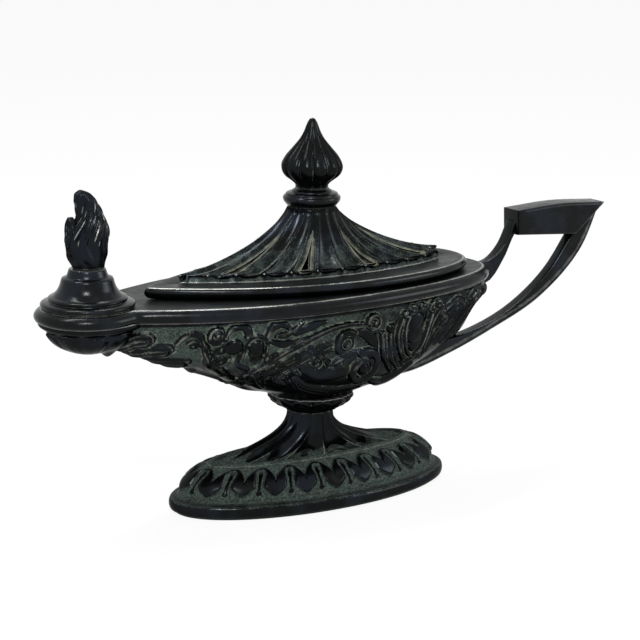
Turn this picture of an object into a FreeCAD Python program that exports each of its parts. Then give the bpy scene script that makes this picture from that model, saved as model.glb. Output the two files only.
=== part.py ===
import FreeCAD
import Part
import math
import os

# A footed genie oil lamp cast in metal: a boat-shaped bowl on a fluted oval foot,
# a rim deck with a round nozzle, a loop handle, a fluted and pierced lid with an
# onion finial, and a stepped nozzle cap that carries a cast flame.
# Millimetres. The spout points to -X, the handle to +X, up is +Z, and the origin
# is the centre of the foot's underside.

os.makedirs("parts", exist_ok=True)

# Clearances, and the overrun that serves every cut
lift_gap = 0.2
slip_gap = 0.3
overrun = 2.0

# Foot
foot_half_length = 58.6
foot_half_width = 27.4
felt_thickness = 1.0
felt_inset = 2.2
foot_edge_height = 4.0
foot_edge_bulge = 0.9
foot_band_half_length = 54.2
foot_band_half_width = 23.4
foot_band_bottom = 6.5
foot_band_top = 16.6
foot_line_half_length = 43.0
foot_line_half_width = 12.6
foot_line_wire = 0.8
foot_wall = 3.4
foot_hollow_height = 9.0
neck_radius = 8.7
neck_top = 32.5
stem_flute_count = 14
stem_flute_depth_share = 0.16

# Petals round the foot's sloping band, parted by keyhole grooves
petal_count = 20
petal_start_share = 0.3
keyhole_depth = 0.5
keyhole_stem_width = 1.5
keyhole_head_radius = 1.5
keyhole_foot_radius = 1.1
keyhole_low_share = 0.2
keyhole_high_share = 0.78

# Tie bolt through the foot and the bowl's floor
bolt_radius = 2.5
bolt_bore_gap = 0.2
bolt_head_radius = 4.4
bolt_head_height = 3.4
bolt_seat_height = 14.0
bolt_stick_out = 1.2
nut_across_flats = 8.0
nut_height = 3.6
washer_radius = 5.5
washer_thickness = 1.0

# Bowl
bowl_left_reach = 104.0
bowl_right_reach = 76.4
bowl_half_width = 33.2
hull_lift = 6.0
hull_height = 38.9
hull_floor_thickness = 4.7
bowl_hull_bottom = neck_top + hull_lift
bowl_rim = bowl_hull_bottom + hull_height
bowl_floor = bowl_hull_bottom + hull_floor_thickness
bowl_wall = 2.8
bowl_floor_lift = 1.7
calyx_radius = 19.2
calyx_swell_radius = 15.6
calyx_height = 8.7
calyx_top = neck_top + calyx_height

# Main forms of the relief on the bowl's sides. A leaf is its place (shares of the reach
# and of the hull's height), half length, half width and lean in degrees. A scroll is its
# place and radius.
relief_height = 1.3
relief_root = 1.6
relief_bevel = 0.5
relief_probe = 1.0
leaf_form_shares = [
    (-0.74, 0.79, 8.0, 3.6, -8), (-0.575, 0.68, 6.5, 2.8, -48), (-0.32, 0.5, 7.5, 3.0, 38),
    (-0.2, 0.7, 8.0, 3.2, 34), (-0.06, 0.84, 7.5, 2.8, 14), (-0.14, 0.46, 6.0, 2.4, -55),
    (0.02, 0.22, 7.5, 2.6, 4), (0.2, 0.58, 9.5, 3.2, 112), (0.375, 0.72, 7.5, 5.0, 92),
    (0.52, 0.52, 9.0, 3.0, 66), (0.68, 0.66, 9.0, 3.0, 58), (0.83, 0.76, 8.0, 2.6, 52)]
scroll_form_shares = [
    (-0.462, 0.73, 4.2), (-0.382, 0.7, 4.2), (-0.3, 0.86, 3.4), (-0.04, 0.63, 5.0),
    (0.06, 0.4, 5.4), (0.06, 0.83, 3.6), (0.56, 0.82, 3.2)]

# Nozzle, the round end of the spout
nozzle_inset = 12.4
nozzle_x = nozzle_inset - bowl_left_reach
nozzle_radius = 17.6
cap_flange_radius = 16.4
nozzle_depth = 12.4
nozzle_flat_radius = 1.5
nozzle_seam_turn = 150

# Rim deck
deck_side_overhang = 1.2
deck_spout_overhang = 1.6
deck_heel_inset = 0.4
deck_thickness = 4.3
deck_half_width = bowl_half_width + deck_side_overhang
deck_left_reach = bowl_left_reach + deck_spout_overhang
deck_right_reach = bowl_right_reach - deck_heel_inset
deck_top = bowl_rim + deck_thickness
deck_bulge = 1.3
waist_gap = 10.8
waist_pinch = 3.5
waist_x = nozzle_x + waist_gap
waist_half_width = nozzle_radius - waist_pinch
nozzle_hole_radius = 9.2

# Lid plate and its locating ring
lid_cap_gap = 5.6
lid_heel_ledge = 9.4
lid_side_ledge = 4.6
lid_plate_height = 4.3
lid_left_reach = -nozzle_x - cap_flange_radius - lid_cap_gap
lid_right_reach = deck_right_reach - lid_heel_ledge
lid_half_width = deck_half_width - lid_side_ledge
lid_widest_x = 7.5
lid_foot_height = 1.2
lid_foot_inset = 1.8
lid_plate_top = deck_top + lid_plate_height
lid_bulge = 0.7
ring_inset = 6.5
ring_wall = 1.8
ring_depth = 3.4

# Lid dome
dome_spout_ledge = 14.2
dome_heel_ledge = 10.2
dome_side_ledge = 11.8
dome_skirt_height = 3.2
dome_rise = 20.2
dome_left_reach = lid_left_reach - dome_spout_ledge
dome_right_reach = lid_right_reach - dome_heel_ledge
dome_half_width = lid_half_width - dome_side_ledge
dome_widest_x = 4.0
dome_skirt_top = lid_plate_top + dome_skirt_height
dome_top = dome_skirt_top + dome_rise
dome_top_radius = 8.9
dome_wall_drop = 1.7
dome_wall_inset = 3.6
dome_flute_count = 24
dome_flute_depth_share = 0.17
dome_nose_flute_share = 0.45
vent_base_share = 0.62
vent_cut_depth = 10.0

# Finial
collar_radius = 10.4
collar_height = 7.2
collar_top = dome_top + collar_height
finial_neck_radius = 5.8
onion_radius = 11.2
onion_swell_rise = 7.7
finial_height = 25.0
finial_lobe_count = 12
finial_lobe_share = 0.3
stud_radius = 2.0
stud_grip = 9.0
stud_nut_flats = 7.0
stud_nut_height = 2.6
stud_washer_radius = 4.6
stud_washer_thickness = 0.8

# Nozzle cap and flame
cap_bead_radius = 13.8
cap_bead_height = 3.5
cap_step_radius = 11.5
cap_step_height = 4.7
cap_disc_radius = 9.0
cap_disc_height = 10.2
cap_top_height = 13.6
cap_top_radius = 6.4
cap_cavity_radius = 6.2
cap_cavity_height = 8.4
flame_height = 27.2
flame_half_width = 7.8
flame_depth_share = 0.8
flame_screw_radius = 1.5
flame_screw_head_radius = 3.0
flame_screw_head_height = 1.2
flame_screw_grip = 6.0

# Wick holder and wick
holder_flange_thickness = 1.2
holder_collar_radius = 8.0
holder_collar_height = 2.6
holder_tube_radius = 4.4
holder_tube_wall = 0.8
holder_tube_drop = 12.1
holder_tube_bottom = deck_top - holder_tube_drop
wick_gap = 0.1
wick_rise = 0.5
wick_tail = 1.0

# Handle: the thumb plate, and the points of its straps, measured along and up from the
# right end of the bowl's rim
handle_width = 6.4
thumb_width = 10.8
handle_edge_bevel = 0.8
thumb_left = (15.8, 22.8)
thumb_crest = (38.6, 23.8)
thumb_tip = (59.4, 22.6)
thumb_under_left = (16.2, 13.0)
thumb_under_right = (45.1, 10.8)
lower_outer_high = (51.0, 5.2)
lower_outer_middle = (30.6, -13.1)
lower_outer_low = (6.7, -23.9)
lower_outer_root = (-32.4, -35.6)
lower_inner_high = (34.0, -3.2)
lower_inner_middle = (15.2, -17.2)
lower_inner_root = (-18.4, -28.8)
upper_outer_top = (15.5, 18.2)
upper_inner_top = (21.0, 18.2)
upper_outer_middle = (11.0, 9.2)
upper_outer_foot = (4.2, 3.8)
upper_outer_root = (-2.4, 3.0)
upper_inner_middle = (11.2, 3.6)
upper_inner_foot = (4.2, -4.8)
upper_inner_root = (-3.4, -6.4)
screw_radius = 1.3
screw_head_radius = 2.6
screw_head_height = 1.4
screw_wall = 2.0
low_screw_inset = 13.4
low_screw_lean = 60.0
low_screw_grip = 2.2
high_screw_drop = 3.5
high_screw_grip = 6.0

# Incense dish
dish_radius = 13.6
dish_wall = 1.2
dish_height = 18.0
dish_foot_radius = 9.6
dish_foot_height = 11.0

UP = FreeCAD.Vector(0, 0, 1)
DOWN = FreeCAD.Vector(0, 0, -1)


def vector(x, y, z):
    return FreeCAD.Vector(x, y, z)


def export(shape, name):
    shape.exportStep("parts/" + name + ".step")
    print(name, "solids", len(shape.Solids), "volume", round(shape.Volume), "valid", shape.isValid())


def spline(points):
    curve = Part.BSplineCurve()
    curve.interpolate(points)
    return curve.toShape()


def cylinder(radius, bottom, top, x=0):
    return Part.makeCylinder(radius, top - bottom, vector(x, 0, bottom))


def hexagon(flats, bottom, top):
    corner = flats / math.sqrt(3)
    turns = [math.radians(60 * number) for number in range(7)]
    points = [vector(corner * math.cos(turn), corner * math.sin(turn), bottom) for turn in turns]
    return Part.Face(Part.makePolygon(points)).extrude(UP * (top - bottom))


def turned(outline, x=0):
    """A solid of revolution about the upright line through x, from (radius, height) points or edges."""
    face = Part.Face(Part.Wire(outline))
    solid = face.revolve(vector(0, 0, 0), UP, 360)
    solid.translate(vector(x, 0, 0))
    return solid


def profile_points(pairs):
    return [vector(radius, 0, height) for radius, height in pairs]


def closed_profile(curved, bottom, top):
    """Close a curved side, given from bottom to top, against the axis."""
    first = curved[0]
    last = curved[-1]
    side = spline(curved)
    floor = Part.LineSegment(vector(0, 0, bottom), first).toShape()
    roof = Part.LineSegment(last, vector(0, 0, top)).toShape()
    axis = Part.LineSegment(vector(0, 0, top), vector(0, 0, bottom)).toShape()
    return [floor, side, roof, axis]


def ellipse_point(half_length, half_width, turn, z):
    return vector(half_length * math.cos(turn), half_width * math.sin(turn), z)


def ellipse_wire(half_length, half_width, z):
    curve = Part.Ellipse(vector(half_length, 0, z), vector(0, half_width, z), vector(0, 0, z))
    return Part.Wire(curve.toShape())


def boat_points(left, right, widest, half_width, left_power, right_power, steps):
    """Half of a boat-shaped outline, from the right tip to the left tip, as (x, y) pairs."""
    points = []
    for step in range(steps + 1):
        turn = math.pi * step / steps
        along = math.cos(turn)
        if along >= 0:
            reach = right - widest
            power = right_power
        else:
            reach = left + widest
            power = left_power
        across = max(0, 1 - along * along) ** power
        points.append((widest + reach * along, half_width * across))
    return points


def even_points(loop, count, start_share):
    """Points at even steps along a closed loop. start_share is the first one's place in its step."""
    lengths = [0]
    for first, second in zip(loop, loop[1:]):
        lengths.append(lengths[-1] + math.hypot(second[0] - first[0], second[1] - first[1]))
    points = []
    place = 0
    for number in range(count):
        target = lengths[-1] * (number + start_share) / count
        while lengths[place + 1] < target:
            place += 1
        share = (target - lengths[place]) / (lengths[place + 1] - lengths[place])
        x = loop[place][0] + (loop[place + 1][0] - loop[place][0]) * share
        y = loop[place][1] + (loop[place + 1][1] - loop[place][1]) * share
        points.append((x, y))
    return points


def outline_wire(points, z):
    """A closed outline, alike on both sides of the X axis, from the points of one half."""
    front = [vector(x, -y, z) for x, y in points]
    back = [vector(x, y, z) for x, y in points]
    return Part.Wire([spline(front), spline(list(reversed(back)))])


def rounded_slab(wire_at, bottom, top, bulge):
    """A slab whose edge swells by bulge at half its height. wire_at gives an outline."""
    edge_steps = 4
    half = (top - bottom) / 2
    wires = []
    for step in range(edge_steps + 1):
        turn = math.pi * (step / edge_steps - 0.5)
        wires.append(wire_at(bottom + half * (1 + math.sin(turn)), bulge * math.cos(turn)))
    return Part.makeLoft(wires, True, True)


def flute_wire(ridges, depth_share, slope):
    """A closed wire of shallow arcs between ridge points. slope gives each arc's way in."""
    edges = []
    for number, start in enumerate(ridges):
        end = ridges[(number + 1) % len(ridges)]
        chord = end - start
        middle = (start + end) * 0.5 + slope(number) * (chord.Length * depth_share)
        edges.append(Part.Arc(start, middle, end).toShape())
    return Part.Wire(edges)


def inward(ridges, number):
    """The level direction from the middle of one arc towards the centre line."""
    start = ridges[number]
    end = ridges[(number + 1) % len(ridges)]
    way = (end - start).cross(UP)
    way.normalize()
    return way * -1


def foot_band_ellipse(rise_share):
    """Half length, half width and height of the foot's sloping band at one level."""
    out = (1 - rise_share * rise_share) ** 0.95
    half_length = foot_line_half_length + (foot_band_half_length - foot_line_half_length) * out
    half_width = foot_line_half_width + (foot_band_half_width - foot_line_half_width) * out
    return half_length, half_width, foot_band_bottom + (foot_band_top - foot_band_bottom) * rise_share


def make_foot_band():
    steps = 4
    rises = [math.sin(math.pi / 2 * step / steps) for step in range(steps + 1)]
    return Part.makeLoft([ellipse_wire(*foot_band_ellipse(rise)) for rise in rises], True, False)


def band_point(turn, rise_share):
    half_length, half_width, z = foot_band_ellipse(rise_share)
    return ellipse_point(half_length, half_width, turn, z)


def petal_turns():
    """The turns of the keyholes, at even steps round the middle of the band."""
    half_length, half_width, z = foot_band_ellipse(0.5)
    steps = 360
    loop = []
    for step in range(steps + 1):
        point = ellipse_point(half_length, half_width, 2 * math.pi * step / steps, z)
        loop.append((point.x, point.y))
    points = even_points(loop, petal_count, petal_start_share)
    return [math.atan2(y / half_width, x / half_length) for x, y in points]


def keyhole_cutter(turn):
    """A groove with a round head and foot, square to the band, between two petals."""
    low = band_point(turn, keyhole_low_share)
    high = band_point(turn, keyhole_high_share)
    up_way = high - low
    up_way.normalize()
    across = band_point(turn + math.radians(1), keyhole_high_share) - high
    across.normalize()
    out_way = across.cross(up_way)
    out_way.normalize()
    sink = out_way * -keyhole_depth
    side = across * (keyhole_stem_width / 2)
    corners = [low - side, low + side, high + side, high - side, low - side]
    stem = Part.Face(Part.makePolygon([corner + sink for corner in corners])).extrude(out_way * overrun)
    head = Part.makeCylinder(keyhole_head_radius, overrun, high + sink, out_way)
    foot = Part.makeCylinder(keyhole_foot_radius, overrun, low + sink, out_way)
    return stem.fuse([head, foot])


def make_foot_line():
    """The raised oval line between the band and the stem, with a sloping inner side."""
    bottom = foot_band_top - foot_line_wire
    top = foot_band_top + foot_line_wire

    def line_wire(z, grow):
        return ellipse_wire(foot_line_half_length + grow, foot_line_half_width + grow, z)

    inside = Part.makeLoft([line_wire(foot_band_top - foot_line_wire / 2, -foot_line_wire),
                            line_wire(top, 0)], True, True)
    return rounded_slab(line_wire, bottom, top, foot_line_wire).cut(inside)


def stem_wire(level_share):
    """One fluted section of the stem, from the oval line (0) to the neck (1)."""
    close = (1 - level_share) ** 2.6
    half_length = neck_radius + (foot_line_half_length - foot_line_wire * 2 - neck_radius) * close
    half_width = neck_radius + (foot_line_half_width - foot_line_wire * 2 - neck_radius) * close
    z = foot_band_top + (neck_top - foot_band_top) * level_share
    ridges = []
    for number in range(stem_flute_count):
        turn = 2 * math.pi * (number + 0.5) / stem_flute_count
        ridges.append(ellipse_point(half_length, half_width, turn, z))
    return flute_wire(ridges, stem_flute_depth_share, lambda number: inward(ridges, number))


def make_foot():
    bottom = felt_thickness
    edge_top = bottom + foot_edge_height

    def edge_wire(z, grow):
        inset = foot_edge_bulge - grow
        return ellipse_wire(foot_half_length - inset, foot_half_width - inset, z)

    edge = rounded_slab(edge_wire, bottom, edge_top, foot_edge_bulge)
    ledge = Part.makeLoft([
        ellipse_wire(foot_half_length - foot_edge_bulge * 2, foot_half_width - foot_edge_bulge * 2, edge_top),
        ellipse_wire(foot_band_half_length + foot_line_wire, foot_band_half_width + foot_line_wire,
                     foot_band_bottom)], True, True)
    band = make_foot_band().cut([keyhole_cutter(turn) for turn in petal_turns()])
    stem = Part.makeLoft([stem_wire(share) for share in (0, 0.1, 0.3, 0.6, 1)], True, False)
    foot = edge.fuse([ledge, band, stem, make_foot_line()])
    hollow = Part.makeLoft([
        ellipse_wire(foot_band_half_length - foot_wall, foot_band_half_width - foot_wall, 0),
        ellipse_wire(foot_band_half_length - foot_wall, foot_band_half_width - foot_wall, foot_band_bottom),
        ellipse_wire(foot_line_half_length - foot_wall, foot_line_half_width - foot_wall,
                     foot_band_bottom + foot_hollow_height - foot_wall)], True, True)
    bore = cylinder(bolt_radius + bolt_bore_gap, 0, neck_top + overrun)
    seat = cylinder(bolt_head_radius + slip_gap * 2, 0, bolt_seat_height)
    return foot.cut([hollow, bore, seat])


def make_felt():
    half_length = foot_half_length - felt_inset
    half_width = foot_half_width - felt_inset
    return Part.Face(ellipse_wire(half_length, half_width, 0)).extrude(UP * felt_thickness)


def hull_rows():
    """Level outlines of the bowl: height, left, right, width and fullness shares, from the keel up."""
    level_shares = [
        (0, 0.14, 0.31, 0.36, 0.5),
        (0.08, 0.194, 0.50, 0.50, 0.55),
        (0.147, 0.267, 0.64, 0.62, 0.6),
        (0.24, 0.341, 0.76, 0.73, 0.65),
        (0.35, 0.438, 0.868, 0.825, 0.7),
        (0.547, 0.649, 0.953, 0.934, 0.75),
        (0.7, 0.786, 0.982, 0.973, 0.8),
        (0.84, 0.894, 0.995, 0.991, 0.9),
        (1, 1, 1, 1, 1.1)]
    return level_shares


def hull_wire(row, inset):
    height_share, left_share, right_share, width_share, left_power = row
    left = bowl_left_reach * left_share - inset
    right = bowl_right_reach * right_share - inset
    half_width = bowl_half_width * width_share - inset
    widest = -left * 0.115 * left_share
    z = bowl_hull_bottom + (bowl_rim - bowl_hull_bottom) * height_share
    right_power = 0.5 - 0.05 * height_share
    return outline_wire(boat_points(left, right, widest, half_width, left_power, right_power, 10), z)


def nozzle_cup(radius, depth):
    """Half an egg under the deck, with a small flat below: the round end of the spout."""
    centre = vector(0, 0, bowl_rim)
    flat_depth = depth * math.sqrt(1 - (nozzle_flat_radius / radius) ** 2)
    flat_edge = vector(nozzle_flat_radius, 0, bowl_rim - flat_depth)
    flat_centre = vector(0, 0, bowl_rim - flat_depth)
    oval = Part.Ellipse(vector(radius, 0, bowl_rim), vector(0, 0, bowl_rim - depth), centre)
    side = Part.ArcOfEllipse(oval, 0, oval.parameter(flat_edge)).toShape()
    roof = Part.LineSegment(centre, vector(radius, 0, bowl_rim)).toShape()
    floor = Part.LineSegment(flat_edge, flat_centre).toShape()
    axis = Part.LineSegment(flat_centre, centre).toShape()
    cup = turned([roof, side, floor, axis], nozzle_x)
    cup.rotate(vector(nozzle_x, 0, 0), UP, nozzle_seam_turn)
    return cup


def bowl_outside():
    hull = Part.makeLoft([hull_wire(row, 0) for row in hull_rows()], True, False)
    calyx_side = profile_points([
        (neck_radius, neck_top), (neck_radius * 1.3, neck_top + (calyx_top - neck_top) * 0.16),
        (calyx_swell_radius, neck_top + (calyx_top - neck_top) * 0.42),
        (calyx_radius, neck_top + (calyx_top - neck_top) * 0.8),
        (calyx_radius * 0.97, calyx_top)])
    calyx = turned(closed_profile(calyx_side, neck_top, calyx_top))
    return hull.fuse([calyx, nozzle_cup(nozzle_radius, nozzle_depth)])


def bowl_inside():
    rows = hull_rows()
    floor_wire = hull_wire(rows[1], bowl_wall)
    floor_wire.translate(vector(0, 0, bowl_floor - floor_wire.BoundBox.ZMin))
    wires = [floor_wire]
    for row in rows[3:]:
        wire = hull_wire(row, bowl_wall)
        wire.translate(UP * (bowl_floor_lift * (1 - row[0])))
        wires.append(wire)
    hollow = Part.makeLoft(wires, True, False)
    return hollow.fuse(nozzle_cup(nozzle_radius - bowl_wall, nozzle_depth - bowl_wall))


def side_place(outside, x, z):
    """Where a level line across the bowl leaves its near side."""
    across = Part.makeLine(vector(x, 0, z), vector(x, -bowl_half_width * 2, z)).common(outside)
    return vector(x, across.BoundBox.YMin, z)


def side_frame(outside, along_share, rise_share):
    """Placement on the bowl's near side: X along, Y up and Z out of the surface."""
    reach = bowl_right_reach if along_share > 0 else bowl_left_reach
    x = reach * along_share
    z = bowl_hull_bottom + hull_height * rise_share
    place = side_place(outside, x, z)
    along = side_place(outside, x + relief_probe, z) - side_place(outside, x - relief_probe, z)
    upward = side_place(outside, x, z + relief_probe) - side_place(outside, x, z - relief_probe)
    return FreeCAD.Placement(place, FreeCAD.Rotation(along, upward, along.cross(upward), "ZXY"))


def leaf_wire(half_length, half_width, z):
    """A pointed oval with a few straight sides."""
    points = [vector(-half_length, 0, z)]
    for side in (-1, 1):
        for along_share in (-0.6, 0, 0.6):
            across = half_width * (1 - along_share * along_share)
            points.append(vector(-half_length * along_share * side, across * side, z))
        points.append(vector(half_length * -side, 0, z))
    return Part.makePolygon(points)


def leaf_form(half_length, half_width, lean):
    """A pointed oval boss with sloping sides."""
    leaf = Part.makeLoft([leaf_wire(half_length + relief_bevel, half_width + relief_bevel, -relief_root),
                          leaf_wire(half_length - relief_bevel, half_width - relief_bevel, relief_height)],
                         True, True)
    leaf.rotate(vector(0, 0, 0), UP, lean)
    return leaf


def scroll_form(radius):
    """A round ring with a bead in its middle."""
    ring = cylinder(radius, -relief_root, relief_height)
    ring = ring.cut(cylinder(radius * 0.68, relief_height * 0.25, relief_height + overrun))
    return ring.fuse(cylinder(radius * 0.34, 0, relief_height))


def relief_forms(outside):
    forms = []
    for along_share, rise_share, half_length, half_width, lean in leaf_form_shares:
        forms.append((side_frame(outside, along_share, rise_share), leaf_form(half_length, half_width, lean)))
    for along_share, rise_share, radius in scroll_form_shares:
        forms.append((side_frame(outside, along_share, rise_share), scroll_form(radius)))
    shapes = []
    for frame, form in forms:
        form.Placement = frame.multiply(form.Placement)
        shapes.append(form)
        shapes.append(form.mirror(vector(0, 0, 0), vector(0, 1, 0)))
    return shapes


def keel_height(x):
    """Height of the hull's underside at x on the centre line, right of the foot."""
    rows = hull_rows()
    for lower, upper in zip(rows, rows[1:]):
        near = bowl_right_reach * lower[2]
        far = bowl_right_reach * upper[2]
        if near <= x < far:
            height_share = lower[0] + (upper[0] - lower[0]) * (x - near) / (far - near)
            return bowl_hull_bottom + (bowl_rim - bowl_hull_bottom) * height_share
    return bowl_rim


def seat_low(solid):
    """Move a screw made at the origin, shank down, to the lower strap."""
    lean = math.radians(low_screw_lean)
    way = vector(math.cos(lean), 0, -math.sin(lean))
    x = bowl_right_reach - low_screw_inset
    place = vector(x, 0, keel_height(x)) - way * screw_wall
    solid.Placement = FreeCAD.Placement(place, FreeCAD.Rotation(DOWN, way))
    return solid


def seat_high(solid):
    """Move a screw made at the origin, shank down, to the upper strap."""
    place = vector(bowl_right_reach - screw_wall, 0, bowl_rim - high_screw_drop)
    solid.Placement = FreeCAD.Placement(place, FreeCAD.Rotation(DOWN, vector(1, 0, 0)))
    return solid


def handle_screw(grip):
    shank = cylinder(screw_radius, -screw_wall - grip, 0)
    return shank.fuse(cylinder(screw_head_radius, 0, screw_head_height))


def screw_way():
    """What a handle screw clears in the bowl's wall: its hole and the seat for its head."""
    hole = cylinder(screw_radius + bolt_bore_gap, -screw_wall - overrun, overrun)
    return hole.fuse(cylinder(screw_head_radius + slip_gap, 0, screw_head_height + overrun))


def make_bowl(outside):
    bowl = outside.fuse(relief_forms(outside)).cut(bowl_inside())
    bolt_hole = cylinder(bolt_radius + bolt_bore_gap, neck_top - overrun, bowl_floor + overrun)
    return bowl.cut([bolt_hole, seat_low(screw_way()), seat_high(screw_way())])


def deck_points(grow):
    """Half of the deck's outline: the boat shape, the waist and the round nozzle end."""
    body = boat_points(deck_left_reach + grow, deck_right_reach + grow, -deck_left_reach * 0.115,
                       deck_half_width + grow, 1.1, 0.45, 16)
    points = [(x, y) for x, y in body if x > waist_x + nozzle_radius / 3]
    points.append((waist_x, waist_half_width + grow))
    radius = nozzle_radius + grow
    for degrees in (112, 90, 65, 40, 18, 0):
        turn = math.radians(degrees)
        points.append((nozzle_x - radius * math.cos(turn), radius * math.sin(turn)))
    points.sort(reverse=True)
    return points


def lid_points(inset):
    return boat_points(lid_left_reach - inset, lid_right_reach - inset, lid_widest_x,
                       lid_half_width - inset, 0.9, 0.45, 12)


def make_deck():
    deck = rounded_slab(lambda z, grow: outline_wire(deck_points(grow), z), bowl_rim, deck_top, deck_bulge)
    opening = Part.Face(outline_wire(lid_points(ring_inset - slip_gap), bowl_rim - overrun))
    deck = deck.cut(opening.extrude(UP * (deck_top - bowl_rim + overrun * 2)))
    hole = cylinder(nozzle_hole_radius, bowl_rim - overrun, deck_top + overrun, nozzle_x)
    seat = cylinder(nozzle_hole_radius + holder_flange_thickness, deck_top - holder_flange_thickness,
                    deck_top + overrun, nozzle_x)
    return deck.cut([hole, seat])


def make_lid_plate():
    foot_bottom = deck_top + lift_gap
    plate_bottom = deck_top + lid_foot_height
    foot = Part.Face(outline_wire(lid_points(lid_foot_inset + lid_bulge), foot_bottom))
    foot = foot.extrude(UP * (plate_bottom - foot_bottom))
    plate = rounded_slab(lambda z, grow: outline_wire(lid_points(lid_bulge - grow), z),
                         plate_bottom, lid_plate_top, lid_bulge)
    opening_wire = dome_inner_wire(1)
    opening = Part.Face(opening_wire).extrude(DOWN * (opening_wire.BoundBox.ZMin - foot_bottom + overrun))
    return plate.fuse(foot).cut(opening)


def make_locating_ring():
    top = deck_top + lift_gap
    outer = Part.Face(outline_wire(lid_points(ring_inset), top))
    inner = Part.Face(outline_wire(lid_points(ring_inset + ring_wall), top))
    return outer.cut(inner).extrude(DOWN * ring_depth)


def dome_outline(inset):
    """Points at even steps round the dome's base, from the spout's side past the front."""
    half = boat_points(dome_left_reach - inset * 2, dome_right_reach - inset, dome_widest_x,
                       dome_half_width - inset, 1.0, 0.45, 180)
    loop = [(x, -y) for x, y in reversed(half)] + half[1:]
    return even_points(loop, dome_flute_count, 0)


def dome_height(out_share):
    """Height of the dome's surface where it is out_share of the way from the crown to the skirt."""
    return dome_skirt_top + (dome_top - dome_skirt_top) * (1 - out_share ** 0.81) ** 1.5


def dome_ridge_point(number, out_share, inset=0, drop=0):
    feet = INNER_FEET if inset else DOME_FEET
    foot_x, foot_y = feet[number % dome_flute_count]
    turn = math.pi + 2 * math.pi * number / dome_flute_count
    top_x = (dome_top_radius - inset) * math.cos(turn)
    top_y = (dome_top_radius - inset) * math.sin(turn)
    return vector(top_x + (foot_x - top_x) * out_share, top_y + (foot_y - top_y) * out_share,
                  dome_height(out_share) - drop)


def dome_way_in(number, out_share):
    """The direction into the dome's wall at the middle of one flute."""
    step = 0.02
    across = dome_ridge_point(number + 1, out_share) - dome_ridge_point(number, out_share)
    lower = dome_ridge_point(number, out_share + step) + dome_ridge_point(number + 1, out_share + step)
    upper = dome_ridge_point(number, out_share - step) + dome_ridge_point(number + 1, out_share - step)
    way = across.cross(lower - upper)
    way.normalize()
    if way.z > 0:
        way = way * -1
    return way


def dome_fluted_wire(out_share, tilt_share=0):
    """One fluted section. tilt_share turns the flutes from level to square with the slope."""
    ridges = [dome_ridge_point(number, out_share) for number in range(dome_flute_count)]

    def way_in(number):
        way = inward(ridges, number)
        if tilt_share:
            way = way * (1 - tilt_share) + dome_way_in(number, out_share) * tilt_share
            way.normalize()
        if number in (0, dome_flute_count - 1):
            way = way * dome_nose_flute_share
        return way

    return flute_wire(ridges, dome_flute_depth_share, way_in)


def dome_inner_wire(out_share):
    """The plain inner wall's level outline."""
    points = [dome_ridge_point(number, out_share, dome_wall_inset, dome_wall_drop)
              for number in range(dome_flute_count)]
    curve = Part.BSplineCurve()
    curve.interpolate(points, PeriodicFlag=True)
    return Part.Wire(curve.toShape())


def vent_cutter(number):
    """A tall triangle through the dome's wall in the middle of one flute."""
    low_share = 0.88
    high_share = 0.2
    left = dome_ridge_point(number, low_share)
    right = dome_ridge_point(number + 1, low_share)
    middle = (left + right) * 0.5
    side = (right - left) * (vent_base_share / 2)
    apex = (dome_ridge_point(number, high_share) + dome_ridge_point(number + 1, high_share)) * 0.5
    way = (side).cross(apex - middle)
    way.normalize()
    if way.z > 0:
        way = way * -1
    corners = [middle - side, middle + side, apex, middle - side]
    corners = [corner - way * overrun for corner in corners]
    return Part.Face(Part.makePolygon(corners)).extrude(way * vent_cut_depth)


def make_dome():
    section_shares = [(1, 0), (0.7, 0.55), (0.4, 1), (0.2, 1), (0, 0)]
    crown = Part.makeLoft([dome_fluted_wire(*shares) for shares in section_shares], True, False)
    skirt = Part.Face(dome_fluted_wire(1)).extrude(DOWN * (dome_skirt_top - lid_plate_top))
    dome = crown.fuse(skirt)
    inner_wires = [dome_inner_wire(share) for share in (1, 0.7, 0.4, 0.12)]
    hollow = Part.makeLoft(inner_wires, True, False)
    throat = Part.Face(dome_inner_wire(1)).extrude(DOWN * (dome_skirt_top - lid_plate_top + overrun))
    dome = dome.cut([hollow, throat])
    vents = [vent_cutter(number) for number in range(dome_flute_count) if number % 3 == 1]
    bore = cylinder(stud_radius + bolt_bore_gap, lid_plate_top, dome_top + overrun)
    return dome.cut(vents + [bore])


DOME_FEET = dome_outline(0)
INNER_FEET = dome_outline(dome_wall_inset)


def make_collar():
    height = collar_top - dome_top
    side = profile_points([
        (dome_top_radius * 0.98, dome_top), (collar_radius * 0.93, dome_top + height * 0.16),
        (collar_radius * 0.96, dome_top + height * 0.3), (collar_radius, dome_top + height * 0.5),
        (collar_radius * 0.92, dome_top + height * 0.68),
        (finial_neck_radius * 1.25, dome_top + height * 0.82),
        (finial_neck_radius * 1.02, collar_top)])
    return turned(closed_profile(side, dome_top, collar_top)).cut(
        cylinder(stud_radius + bolt_bore_gap, dome_top - overrun, collar_top + overrun))


def onion_wire(radius, z):
    points = []
    for number in range(finial_lobe_count):
        turn = 2 * math.pi * number / finial_lobe_count
        points.append(vector(radius * math.cos(turn), radius * math.sin(turn), z))
    return flute_wire(points, finial_lobe_share, lambda number: inward(points, number) * -1)


def make_finial():
    groove_share = 0.9
    low = onion_swell_rise
    swell = collar_top + low
    high = finial_height - low
    rows = [
        (finial_neck_radius * 0.95, collar_top), (onion_radius * 0.78, collar_top + low * 0.42),
        (onion_radius, swell), (onion_radius * 0.86, swell + high * 0.2),
        (onion_radius * 0.39, swell + high * 0.57), (onion_radius * 0.2, swell + high * 0.84),
        (onion_radius * 0.08, swell + high)]
    onion = Part.makeLoft([onion_wire(radius * groove_share, z) for radius, z in rows], True, False)
    return onion.cut(cylinder(stud_radius, collar_top - overrun, collar_top + stud_grip))


def crown_underside():
    return dome_height(0.12) - dome_wall_drop


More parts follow.
